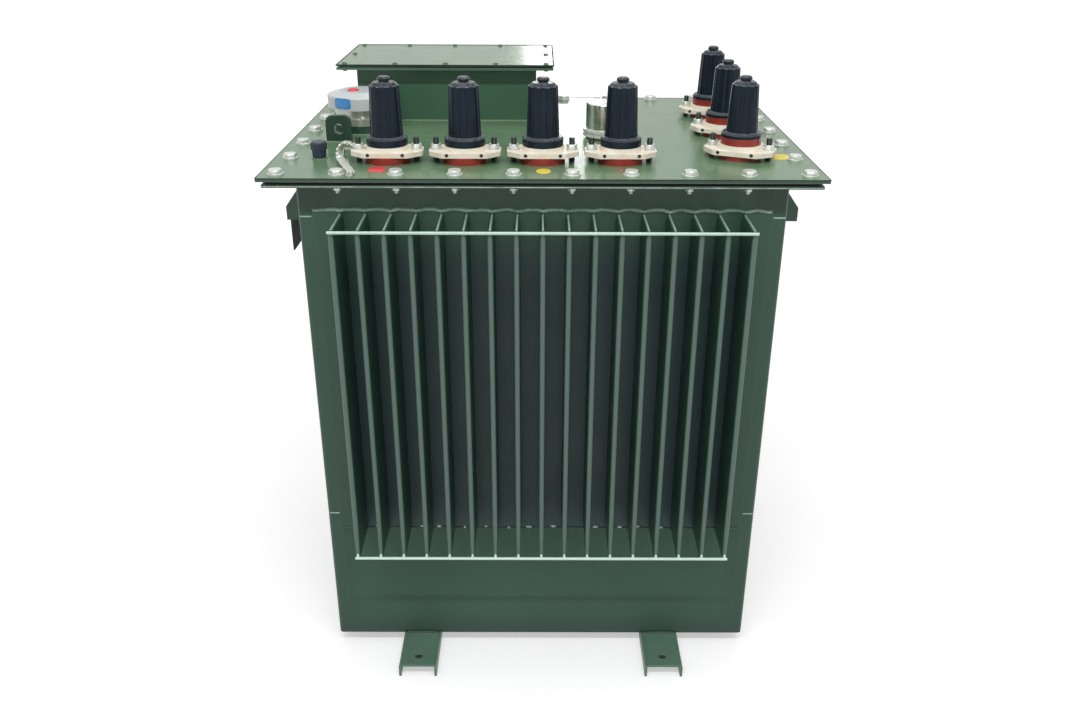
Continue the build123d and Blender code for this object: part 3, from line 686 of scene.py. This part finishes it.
# %% Clamp screws
SCREW_OUT = 33 * MM
SCREW_DOWN = 3.4 * MM
SCREW = [(-1, 0, ROUND), (-1, 3.4, ROUND), (0.5, 3.4, ROUND), (0.9, 2.6, ROUND), (0.2, 1.4, ROUND),
         (0.2, 0, ROUND)]
LV_HALF, HV_HALF = 40.8 * MM, 46.3 * MM


def face_screws(name, centres, along, half_width, level):
    """Screw seats on both long faces of each clamp, and the outward directions there."""
    outward = np.array([along[1], -along[0]])
    seats, directions = [], []
    for way in (-1.0, 1.0):
        for step in (-SCREW_OUT, SCREW_OUT):
            seats.append(lifted(centres + step * along + way * half_width * outward, level))
            directions.append(np.broadcast_to([*(way * outward), 0.0], (len(centres), 3)))
    return fasteners(name, SCREW, np.vstack(seats), "blackened", np.vstack(directions), 12)


face_screws("lv_clamp_screws", lv_middles, lv_along, LV_HALF, lv_clamp_top - SCREW_DOWN)
face_screws("hv_clamp_screws", hv_middles, hv_along, HV_HALF, hv_clamp_top - SCREW_DOWN)

# %% [markdown]
# ## Weld beads
# The tank is welded by hand. A curve with a round bevel could stand for a bead, but it would be as smooth
# as a pipe. Here a bead is a tube along the seam whose radius swells and shrinks with each step of the weld
# pool. It is worked out for any path, given as an array of points, and tapers to nothing at its ends unless
# the path is closed.

# %% Weld beads
RIPPLE, WELD_STEP = 7 * MM, 2 * MM
FILLET_BEAD = 3.5 * MM


def beads(name, paths, outward, radius, finish="tank_paint", closed=False, sides=8):
    """Weld runs along paths (runs, points, 3): rings of radius * (0.8 + 0.2 |sin(pi * travel / ripple)|)
    that stand across the path."""
    paths = np.asarray(paths, float)
    forward = np.gradient(paths, axis=1)
    step = np.linalg.norm(forward, axis=2, keepdims=True)
    forward = forward / step
    outward = np.broadcast_to(np.asarray(outward, float), paths.shape)
    sideways = np.cross(forward, outward)
    travel = np.cumsum(step, axis=1)
    swell = radius * (0.8 + 0.2 * np.abs(np.sin(np.pi * travel / RIPPLE)))
    if not closed:
        swell[:, [0, -1]] = 0.0
    angle = np.linspace(0.0, 2.0 * np.pi, sides, endpoint=False)[:, None]
    ring = np.cos(angle) * sideways[:, :, None] + np.sin(angle) * outward[:, :, None]
    return new_piece(name, paths[:, :, None] + swell[:, :, None] * ring, finish, 70.0)


def runs(starts, ends, spacing):
    """Straight paths from starts to ends, with points about `spacing` apart on the longest one."""
    starts, ends = np.asarray(starts, float), np.asarray(ends, float)
    count = int(np.linalg.norm(ends - starts, axis=1).max() / spacing) + 2
    share = np.linspace(0.0, 1.0, count)[None, :, None]
    return starts[:, None] + share * (ends - starts)[:, None]


print("beads ripple every", RIPPLE, "m")

# %% [markdown]
# ## Seams of the finned walls
# The seam over the fins is the one that shows most: it sags at each fin and rises between them, and the
# welder's hand wanders a little. A straight bead would look machined, so its height is an arch from fin to
# fin plus a chance wander. A second, thinner seam runs along the fin feet.

# %% Seams of the finned walls
panel_low, panel_high = (np.array(corner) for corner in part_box("front_fin_panel"))
wall_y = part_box("front_skirt")[0].y
tank_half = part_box("right_side_wall")[1].x
FIN_PITCH = 48.125 * MM
SEAM_STEP = 1.6 * MM
TOP_BEAD, FOOT_BEAD = 4 * MM, 2.8 * MM
SEAM_LIFT, TOP_ARCH, FOOT_ARCH = 4 * MM, 3 * MM, 2 * MM
WANDER, WANDER_KNOTS = 0.7 * MM, 60
seam_x = np.arange(panel_low[0], panel_high[0], SEAM_STEP)
arch = np.abs(np.sin(np.pi * seam_x / FIN_PITCH))
knots = np.linspace(seam_x[0], seam_x[-1], WANDER_KNOTS)
wander = np.interp(seam_x, knots, dice.normal(0.0, WANDER, WANDER_KNOTS))
seam_y = np.full_like(seam_x, wall_y)
top_seam = np.stack([seam_x, seam_y, panel_high[2] + SEAM_LIFT + TOP_ARCH * arch + wander], axis=-1)
foot_seam = np.stack([seam_x, seam_y, panel_low[2] + FOOT_ARCH * arch + wander], axis=-1)
TO_REAR = [-1.0, -1.0, 1.0]
FRONT, REAR = (0.0, -1.0, 0.0), (0.0, 1.0, 0.0)
# The top seams take the pale seam paint, a painted highlight.
beads("front_top_seam", top_seam[None], FRONT, TOP_BEAD, "seam_paint_with_highlight")
beads("rear_top_seam", top_seam[None] * TO_REAR, REAR, TOP_BEAD, "seam_paint_with_highlight")
beads("front_foot_seam", foot_seam[None], FRONT, FOOT_BEAD)
beads("rear_foot_seam", foot_seam[None] * TO_REAR, REAR, FOOT_BEAD)

# %% [markdown]
# ## Corner ticks
# The side walls are bent round on to the front and the rear, and two short welds cross each bent strip.
# They are drawn as straight runs of the same bead, one array for all eight, because only their places
# differ.

# %% Corner ticks
TICK_LEVELS = (361 * MM, panel_high[2] - 8 * MM)
TICK_START, TICK_END = tank_half - 27 * MM, tank_half - 3 * MM
TICK_BEAD = 1.7 * MM
ticks = np.array([[(x * TICK_START, y, z), (x * TICK_END, y, z)]
                  for x in (-1, 1) for y in (wall_y, -wall_y) for z in TICK_LEVELS])
tick_outward = np.sign(ticks[:, :1, 1:2]) * [0.0, 1.0, 0.0]
# The ticks take the pale seam paint, a painted highlight.
beads("corner_ticks", runs(ticks[:, 0], ticks[:, 1], SEAM_STEP), tick_outward, TICK_BEAD, "seam_paint_with_highlight")

# %% [markdown]
# ## Seam under the flange
# A fillet weld fills the inner corner between the tank's walls and the flange all round. A bead that is
# half sunk into both plates looks like one and needs no cutting.

# %% Seam under the flange
wall_x, wall_back = tank_half, -wall_y
loop = np.array([(-wall_x, wall_y), (wall_x, wall_y), (wall_x, wall_back), (-wall_x, wall_back)])
flange_runs = runs(lifted(loop, flange_low), lifted(np.roll(loop, -1, axis=0), flange_low), WELD_STEP)
beads("flange_seams", flange_runs, DOWN, FILLET_BEAD)

# %% [markdown]
# ## Lines on the plate edges
# A pale line runs along the flange's edge, a painted highlight where its upper edge catches the light, and
# dark ones run along the upper edges of the two lids, painted shade. A bevel on the plates would round the
# whole edge; a thin bead along it shows only the line.

# %% Lines on the plate edges
FLANGE_LINE_DOWN, RIM_DOWN = 3.4 * MM, 0.6 * MM
LINE_BEAD, TURRET_LINE_BEAD = 1.3 * MM, 1.8 * MM


def rim_runs(node, level):
    """Straight paths along the four edges of a CAD piece's box at one height."""
    low, high = (np.array(corner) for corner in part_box(node))
    edge = np.array([low[:2], (high[0], low[1]), high[:2], (low[0], high[1])])
    return runs(lifted(edge, level), lifted(np.roll(edge, -1, axis=0), level), WELD_STEP)


flange_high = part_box("tank_flange_long_bars")[1].z
flange_edge = rim_runs("tank_flange_long_bars", flange_high - FLANGE_LINE_DOWN)
# Painted highlight along the flange's edge, and painted shade along the lids' upper edges.
beads("flange_lines", flange_edge, UP, LINE_BEAD, "seam_paint_with_highlight")
beads("lid_rim", rim_runs("tank_lid", lid_high[2] - RIM_DOWN), UP, LINE_BEAD, "shaded_paint")
beads("turret_rim", rim_runs("turret_lid", turret_high[2] - RIM_DOWN), UP, TURRET_LINE_BEAD, "shaded_paint")

# %% [markdown]
# ## Seams of the lugs, the turret and the feet
# The lifting lugs are welded along both faces, the turret round its foot, and the feet where the tank
# stands on them. Each is a list of straight runs between two points, read from the CAD boxes, so that the
# welds follow when a piece is moved.

# %% Seams of the tank's lugs
LUG_PLATE, LUG_SHORT, LUG_BEAD = 14 * MM, 2 * MM, 4 * MM
lug_runs = []
for name in ("left_tank_lugs", "right_tank_lugs"):
    low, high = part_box(name)
    x = high.x if low.x < 0 else low.x
    for y in (low.y, low.y + LUG_PLATE, high.y - LUG_PLATE, high.y):
        lug_runs.append([(x, y, low.z), (x, y, high.z - LUG_SHORT)])
lug_runs = np.array(lug_runs)
lug_outward = np.sign(lug_runs[:, :1, 0:1]) * [1.0, 0.0, 0.0]
beads("tank_lug_seams", runs(lug_runs[:, 0], lug_runs[:, 1], WELD_STEP), lug_outward, LUG_BEAD)

# %% Seams on the lid
TURRET_OVERHANG = 38 * MM
lid_runs = []
for name in ("left_lid_lug", "right_lid_lug"):
    low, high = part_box(name)
    for y in (low.y, high.y):
        lid_runs.append([(low.x, y, low.z), (high.x, y, low.z)])
low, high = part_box("turret_side_walls")
long_low, long_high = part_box("turret_long_walls")
left, right = low.x + TURRET_OVERHANG, high.x - TURRET_OVERHANG
front, back = long_low.y + TURRET_OVERHANG, long_high.y - TURRET_OVERHANG
corners = [(left, front), (right, front), (right, back), (left, back)]
for here, there in zip(corners, corners[1:] + corners[:1]):
    lid_runs.append([(*here, lid_high[2]), (*there, lid_high[2])])
lid_runs = np.array(lid_runs)
lid_paths = runs(lid_runs[:, 0], lid_runs[:, 1], WELD_STEP)
beads("lid_seams", lid_paths, UP, FILLET_BEAD, "lid_paint")

# %% Seams of the feet
FOOT_CORNER, FOOT_SEAM_BEAD = 8 * MM, 3 * MM
foot_runs = []
for name in ("left_foot_channel", "right_foot_channel"):
    low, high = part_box(name)
    for y in (wall_y, -wall_y):
        foot_runs.append([(low.x + FOOT_CORNER, y, high.z), (high.x - FOOT_CORNER, y, high.z)])
foot_runs = np.array(foot_runs)
beads("foot_seams", runs(foot_runs[:, 0], foot_runs[:, 1], WELD_STEP), UP, FOOT_SEAM_BEAD)

# %% [markdown]
# ## Round welds on the lid
# The valve's base, the filler's neck and the thermometer pocket are welded in. A torus would be too even,
# so the same rippled bead runs here round a closed circle. Where a piece is wider higher up, the circle is
# a share of its box.

# %% Round welds on the lid
NECK_SHARE, PLUG_SHARE = 70 / 88, 26 / 30
CIRCLE_POINTS, ROUND_BEAD = 121, 2.6 * MM
angle = np.linspace(0.0, 2.0 * np.pi, CIRCLE_POINTS)
rounds = []
WELDED_IN = ("relief_valve_base", 1.0), ("filler_neck", NECK_SHARE), ("thermometer_plug", PLUG_SHARE)
for name, share in WELDED_IN:
    low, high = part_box(name)
    radius = share * (high.x - low.x) / 2
    centre = ((low.x + high.x) / 2, (low.y + high.y) / 2)
    rounds.append(np.stack([centre[0] + radius * np.cos(angle), centre[1] + radius * np.sin(angle),
                            np.full_like(angle, lid_high[2])], axis=-1))
beads("lid_round_seams", rounds, UP, ROUND_BEAD, "lid_paint", closed=True)

# %% [markdown]
# ## Tacks on the rods
# The lower rods are tacked to every fin that they cross, and the tacks show above them. A tack is a drop of
# weld: a ball's rings stretched upwards, with a few dozen faces each because there are many. Copies of one
# sphere would do as well, but one array keeps them in a single piece.

# %% Tacks on the rods
rod_low, rod_high = (np.array(corner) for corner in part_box("front_fin_rods"))
FIN_COUNT = 17
fin_x = (np.arange(FIN_COUNT) - (FIN_COUNT - 1) / 2) * FIN_PITCH
ROD_RADIUS = 3 * MM
tack_level = rod_low[2] + 2 * ROD_RADIUS
tack_seats = np.array([(x, sign * rod_high[1], tack_level) for x in fin_x for sign in (1, -1)])
rise = np.linspace(-np.pi / 2, np.pi / 2, 6)[:, None]
turn = np.linspace(0.0, 2.0 * np.pi, 8, endpoint=False)[None, :]
drop = np.stack([np.cos(rise) * np.cos(turn), np.cos(rise) * np.sin(turn), np.sin(rise) + 0 * turn],
                axis=-1)
TACK_SIZE = np.array([3.2, 3.4, 6.5]) * MM
tacks = tack_seats[:, None, None] + (TACK_SIZE * drop)[None]
# The tacks take the rods' pale paint, a painted highlight.
new_piece("rod_tacks", tacks, "rod_paint_with_highlight", 80.0)

# %% [markdown]
# ## Spatter along the fin feet
# The seam at the fin feet is dull, but a few blobs of spatter on it catch the light between the fins. A
# texture could dot the wall, but real blobs stand off it and cast their own shine, and their pale paint is a
# painted highlight. They are the same drops, flatter and with chance places and sizes.

# %% Spatter along the fin feet
SPATTER, BLOB_DEPTH = 14, 3.0
gaps = (fin_x[1:] + fin_x[:-1]) / 2
blob_x = dice.choice(gaps, SPATTER, replace=False) + dice.uniform(-9, 9, SPATTER) * MM
blob_z = panel_low[2] + dice.uniform(2, 7, SPATTER) * MM
blob_seats = np.column_stack([blob_x, np.full(SPATTER, wall_y), blob_z])
blob_width = dice.uniform(3, 8, SPATTER)
blob_height = dice.uniform(2, 3.4, SPATTER)
blob_size = np.column_stack([blob_width, np.full(SPATTER, BLOB_DEPTH), blob_height]) * MM
blobs = blob_seats[:, None, None] + blob_size[:, None, None] * drop[None]
# The blobs take the rods' pale paint, a painted highlight.
new_piece("front_spatter", blobs, "rod_paint_with_highlight", 80.0)
new_piece("rear_spatter", blobs * TO_REAR, "rod_paint_with_highlight", 80.0)

# %% [markdown]
# ## Relief valve details
# Small bolts hold the valve's body down, and a red pin on the cap shows whether the valve has opened. Both
# are turned pieces, so the helper for bolts makes them too.

# %% Relief valve details
valve_low, valve_high = (np.array(corner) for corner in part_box("relief_valve_cap"))
valve_middle = (valve_low + valve_high) / 2
body_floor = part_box("relief_valve_body")[0].z
VALVE_BOLTS, VALVE_SPIN = 8, 0.2
VALVE_CIRCLE, VALVE_FLANGE = 58.5 * MM, 14 * MM
PIN_LEFT, PIN_FORWARD = 13 * MM, 10 * MM
around = np.linspace(0.0, 2.0 * np.pi, VALVE_BOLTS, endpoint=False) + VALVE_SPIN
ring_places = valve_middle[:2] + VALVE_CIRCLE * np.column_stack([np.cos(around), np.sin(around)])
VALVE_BOLT = [(-0.5, 0, ROUND), (-0.5, 4.6, 4), (5, 4.6, 4), (5.6, 3.8, 4), (5.6, 0, ROUND)]
fasteners("valve_bolts", VALVE_BOLT, lifted(ring_places, body_floor + VALVE_FLANGE))
PIN = [(-2, 0, ROUND), (-2, 12, ROUND), (2, 12, ROUND), (3, 11, ROUND), (3, 6, ROUND), (4.6, 5, ROUND),
       (4.6, 0, ROUND)]
pin_seat = (valve_middle[0] - PIN_LEFT, valve_middle[1] - PIN_FORWARD, valve_high[2])
fasteners("valve_pin", PIN, [pin_seat], "red_mark")

# %% [markdown]
# ## Valve tag
# A plain blue tag is stuck to the cap's side. A flat patch pushed on to the cap by a modifier would do, but
# the bend is easy to write down: the outline is a superellipse |u|^5 + |v|^5 = 1, with u run round the cap
# and v up it.

# %% Valve tag
TAG_RADIUS, TAG_UP, TAG_HALF_HEIGHT, TAG_THICK = 70 * MM, 15 * MM, 11 * MM, 0.8 * MM
TAG_FACING, TAG_HALF_ANGLE = math.radians(-114), math.radians(16)


def superellipse(power, sides):
    """Points (u, v) round a rounded square: |u|^power + |v|^power = 1."""
    angle = np.linspace(0.0, 2.0 * np.pi, sides, endpoint=False)
    return (np.sign(trig) * np.abs(trig) ** (2.0 / power) for trig in (np.cos(angle), np.sin(angle)))


def wrapped_tag(name, finish, middle):
    """A tag bent round an upright cylinder: rings grow from the middle to the rim at the back, and shrink
    to the middle again at the front."""
    u, v = superellipse(5.0, 48)
    share = np.array([0.0, 0.5, 1.0, 1.0, 0.96, 0.5, 0.0])[:, None]
    reach = TAG_RADIUS + TAG_THICK * np.array([-0.5, -0.5, -0.5, 0.8, 1.0, 1.0, 1.0])[:, None]
    angle = TAG_FACING + TAG_HALF_ANGLE * share * u[None]
    grid = np.stack([middle[0] + reach * np.cos(angle), middle[1] + reach * np.sin(angle),
                     middle[2] + TAG_HALF_HEIGHT * share * v[None]], axis=-1)
    return new_piece(name, grid[None], finish)


wrapped_tag("valve_tag", "blue_tag", (*valve_middle[:2], valve_low[2] + TAG_UP))

# %% [markdown]
# ## Phase marks
# Plain coloured marks on the lid tell the phases apart. They could be spots in the lid's material, but as
# thin stickers they have an edge and can be moved: a superellipse outline, a tiny rim and a flat top, laid
# on the lid.


# %% Phase marks
def sticker(name, finish, x, y, half_x, half_y, power):
    """A thin flat patch on the lid with the outline |x|^power + |y|^power = 1, in millimetres."""
    u, v = superellipse(power, 40)
    share = np.array([0.0, 1.0, 1.0, 0.98, 0.0])[:, None]
    height = np.array([0.0, 0.0, 0.3, 0.5, 0.5])[:, None] * MM + 0 * u[None]
    grid = np.stack([(x + half_x * share * u[None]) * MM, (y + half_y * share * v[None]) * MM,
                     lid_high[2] + height], axis=-1)
    return new_piece(name, grid[None], finish)


sticker("mark_red_1", "red_mark", -312, -331, 15, 20, 8)
sticker("mark_yellow_1", "yellow_mark", 1, -339, 14, 19, 2)
sticker("mark_red_2", "red_mark", 146, -330, 4, 6, 2)
sticker("mark_yellow_2", "yellow_mark", 464, -222, 26, 22, 6)

# %% [markdown]
# ## Knurled sleeves
# The thermometer plug is gripped by hand, so its side is ribbed in two bands. Ribs could be cut in the CAD
# piece, but as a sleeve they cost it nothing: a tube whose outer radius follows a flattened cosine of the
# angle, closed over an inner wall inside the CAD piece.

# %% Knurled sleeves
RIB_TROUGH, RIB_ENDS = -0.3, 0.8


def sleeve(name, node, radius, low, high, ribs, depth, finish):
    """A ribbed band round an upright CAD piece: radius + depth * max(cos(ribs * angle), trough), in
    millimetres."""
    box_low, box_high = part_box(node)
    centre = (np.array(box_low) + np.array(box_high)) / 2
    angle = np.linspace(0.0, 2.0 * np.pi, ribs * 8, endpoint=False)[None, :]
    wave = depth * np.maximum(np.cos(ribs * angle), RIB_TROUGH)
    level = np.array([low, low, low + RIB_ENDS, high - RIB_ENDS, high, high, low])
    height = level[:, None] * MM + 0 * angle
    share = np.array([0.0, 0.6, 1.0, 1.0, 0.6, 0.0, 0.0])[:, None]
    inner = np.array([-2.0, -0.6, 0.0, 0.0, -0.6, -2.0, -2.0])[:, None]
    reach = (radius + inner + wave * share) * MM
    across_x, across_y = reach * np.cos(angle), reach * np.sin(angle)
    grid = np.stack([centre[0] + across_x, centre[1] + across_y, box_low.z + height], axis=-1)
    return new_piece(name, grid[None], finish, 25.0)


sleeve("plug_grip", "thermometer_plug", 15.1, 18, 31, 22, 0.9, "plug")
sleeve("plug_collar", "thermometer_plug", 13.1, 5, 16, 16, 0.6, "plug")

# %% [markdown]
# ## Braid of the earthing strap
# The strap is a flat tinned braid that is bolted to the first clamp, bulges over its end and lies on the
# lid. A curve object could carry it, but arrays keep the ring's twist in hand. Its middle line runs through
# a few given points and is rounded off by a moving average. Round that line goes a flattened ring whose
# size swells and shrinks in slanting waves, as the bundles of a braid do.

# %% Braid of the earthing strap
braid_knots = np.array([(-362, -261, 27), (-373, -261, 35), (-386, -263, 35), (-392, -267, 23),
                        (-391, -275, 8), (-383, -295, 5), (-352, -376, 4.5)]) * MM + [0.0, 0.0, lid_high[2]]
width_knots = np.array([(0, 1, 0), (0, 1, 0), (0.1, 1, 0), (0.5, 0.9, 0), (0.8, 0.5, 0), (0.95, 0.3, 0),
                        (0.94, 0.35, 0)])
BRAID_POINTS, BRAID_BLUR, BRAID_SIDES = 220, 17, 24
BRAID_HALF_WIDTH, BRAID_HALF_THICK = 8 * MM, 2.8 * MM
BUNDLE, BUNDLE_SWELL, BUNDLES_ROUND = 7 * MM, 0.14, 3.0


def rounded_line(knots):
    """Straight runs between knots at even steps of length, then a moving average over neighbours."""
    gone = np.concatenate([[0.0], np.cumsum(np.linalg.norm(np.diff(braid_knots, axis=0), axis=1))])
    steps = np.linspace(0.0, gone[-1], BRAID_POINTS)
    line = np.stack([np.interp(steps, gone, column) for column in knots.T], axis=-1)
    padded = np.pad(line, ((BRAID_BLUR // 2, BRAID_BLUR // 2), (0, 0)), mode="edge")
    window = np.ones(BRAID_BLUR) / BRAID_BLUR
    return np.stack([np.convolve(column, window, "valid") for column in padded.T], axis=-1)


middle_line = rounded_line(braid_knots)
heading = np.gradient(middle_line, axis=0)
heading /= np.linalg.norm(heading, axis=1, keepdims=True)
broad = rounded_line(width_knots)
broad -= np.sum(broad * heading, axis=1, keepdims=True) * heading
broad /= np.linalg.norm(broad, axis=1, keepdims=True)
thin = np.cross(heading, broad)
u, v = superellipse(3.0, BRAID_SIDES)
travel = np.cumsum(np.linalg.norm(np.gradient(middle_line, axis=0), axis=1))[:, None]
ring_angle = np.linspace(0.0, 2.0 * np.pi, BRAID_SIDES, endpoint=False)[None, :]
swell = 1.0 + BUNDLE_SWELL * np.sin(2.0 * np.pi * travel / BUNDLE + BUNDLES_ROUND * ring_angle)
swell[[0, -1]] = 0.0
ribbon = middle_line[:, None] + BRAID_HALF_WIDTH * (swell * u)[..., None] * broad[:, None]
ribbon = ribbon + BRAID_HALF_THICK * (swell * v)[..., None] * thin[:, None]
new_piece("strap_braid", ribbon[None], "strap", 60.0)

# %% [markdown]
# ## Floor
# A plain pale floor carries the object and keeps its shadow. Brighter lamps would make it white, but the
# pale clamps would clip. So part of its brightness is a soft glow that only the camera and mirrors see,
# stronger far from the object where the lamps don't reach. The glow stops under the feet, where no light
# would get in.

# %% Floor
FLOOR_HALF = 40.0
floor_corners = FLOOR_HALF * np.array([(-1, -1, 0), (1, -1, 0), (1, 1, 0), (-1, 1, 0)])
floor_mesh = bpy.data.meshes.new("studio_floor")
floor_mesh.from_pydata(floor_corners, [], [(0, 1, 2, 3)])
floor = bpy.data.objects.new("studio_floor", floor_mesh)
bpy.context.scene.collection.objects.link(floor)

# %% Floor finish
NEAR_GLOW, FAR_GLOW, GLOW_GROWS = 0.44, 0.4, (0.8, 5.0)
FOOT_MIDDLE, FOOT_HALF, FOOT_REACH = 275 * MM, 37 * MM, 400 * MM
FLOOR_TONES = (0.80, 0.80, 0.80, 1), (0.78, 0.78, 0.78, 1)
WHITE = (1, 1, 1, 1)
floor_finish, tree, shader, where = new_finish("studio_floor")
seen = place(tree, "ShaderNodeLightPath", {})
mirrored = sums(tree, "MAXIMUM", seen["Is Glossy Ray"], seen["Is Transmission Ray"])
away = place(tree, "ShaderNodeVectorMath", {0: where}, operation="LENGTH")["Value"]
lift = sums(tree, "ADD", NEAR_GLOW, sums(tree, "MULTIPLY", ramp(tree, away, *GLOW_GROWS), FAR_GLOW))
spot = place(tree, "ShaderNodeSeparateXYZ", {0: where})
from_middle = sums(tree, "SUBTRACT", sums(tree, "ABSOLUTE", spot["X"], 0.0), FOOT_MIDDLE)
aside = sums(tree, "ABSOLUTE", from_middle, 0.0)
along_foot = sums(tree, "ABSOLUTE", spot["Y"], 0.0)
open_floor = sums(tree, "MAXIMUM", sums(tree, "GREATER_THAN", aside, FOOT_HALF),
                  sums(tree, "GREATER_THAN", along_foot, FOOT_REACH))
lift = sums(tree, "MULTIPLY", lift, open_floor)
glow = sums(tree, "MULTIPLY", sums(tree, "MAXIMUM", seen["Is Camera Ray"], mirrored), lift)
fill(tree, shader, {"Base Color": blend(tree, noise(tree, where, 0.6), *FLOOR_TONES),
                    "Emission Color": WHITE, "Emission Strength": glow, "Roughness": 0.9})
shader.inputs["Specular IOR Level"].default_value = 0.0
floor_mesh.materials.append(floor_finish)
print("floor", 2 * FLOOR_HALF, "m across")

# %% [markdown]
# ## Light
# A works hall is lit from above. One large soft lamp hangs overhead, a narrow strip in front of it draws
# the bright lines on rods, bolts and caps, and a wide lamp in front fills the fins a little. Behind stand a
# window and a narrow gap of light, which mirror themselves in the glossy lids. A ready-made sky could light
# it all, but single lamps can be set one by one. The world is white to the camera, a little dimmer in
# mirrors and dimmer still as a light.


# %% Light
def lamp(name, place_at, target, size_x, size_y, watts):
    """A rectangular area lamp aimed at a point."""
    data = bpy.data.lights.new(name, "AREA")
    data.shape = "RECTANGLE"
    data.size, data.size_y = size_x, size_y
    data.energy = watts
    light = bpy.data.objects.new(name, data)
    light.location = place_at
    light.rotation_euler = (Vector(target) - Vector(place_at)).to_track_quat("-Z", "Y").to_euler()
    bpy.context.scene.collection.objects.link(light)


lamp("overhead", (0.0, 0.2, 4.0), (0.0, 0.0, 1.0), 2.6, 2.6, 36)
lamp("strip", (0.0, -2.4, 3.6), (0.0, -0.4, 1.0), 3.4, 0.14, 70)
lamp("front_fill", (-0.4, -4.6, 2.4), (0.0, 0.0, 0.6), 3.0, 2.4, 20)
lamp("window", (0.125, 4.2, 1.825), (0.125, 0.0, 1.4), 0.41, 0.45, 4.4)
lamp("door_gap", (0.263, 4.2, 2.3), (0.263, 0.0, 1.4), 0.041, 0.5, 0.5)

# %% White world
AMBIENT, MIRRORED = 0.4, 0.8
world = bpy.data.worlds.new("studio")
world.use_nodes = True
bpy.context.scene.world = world
tree = world.node_tree
seen = place(tree, "ShaderNodeLightPath", {})
mirrored = sums(tree, "MAXIMUM", seen["Is Glossy Ray"], seen["Is Transmission Ray"])
shown = sums(tree, "MAXIMUM", seen["Is Camera Ray"], sums(tree, "MULTIPLY", mirrored, MIRRORED))
level = sums(tree, "ADD", AMBIENT, sums(tree, "MULTIPLY", shown, 1.0 - AMBIENT))
fill(tree, tree.nodes["Background"], {"Color": WHITE, "Strength": level})
print("five lamps and a white world")
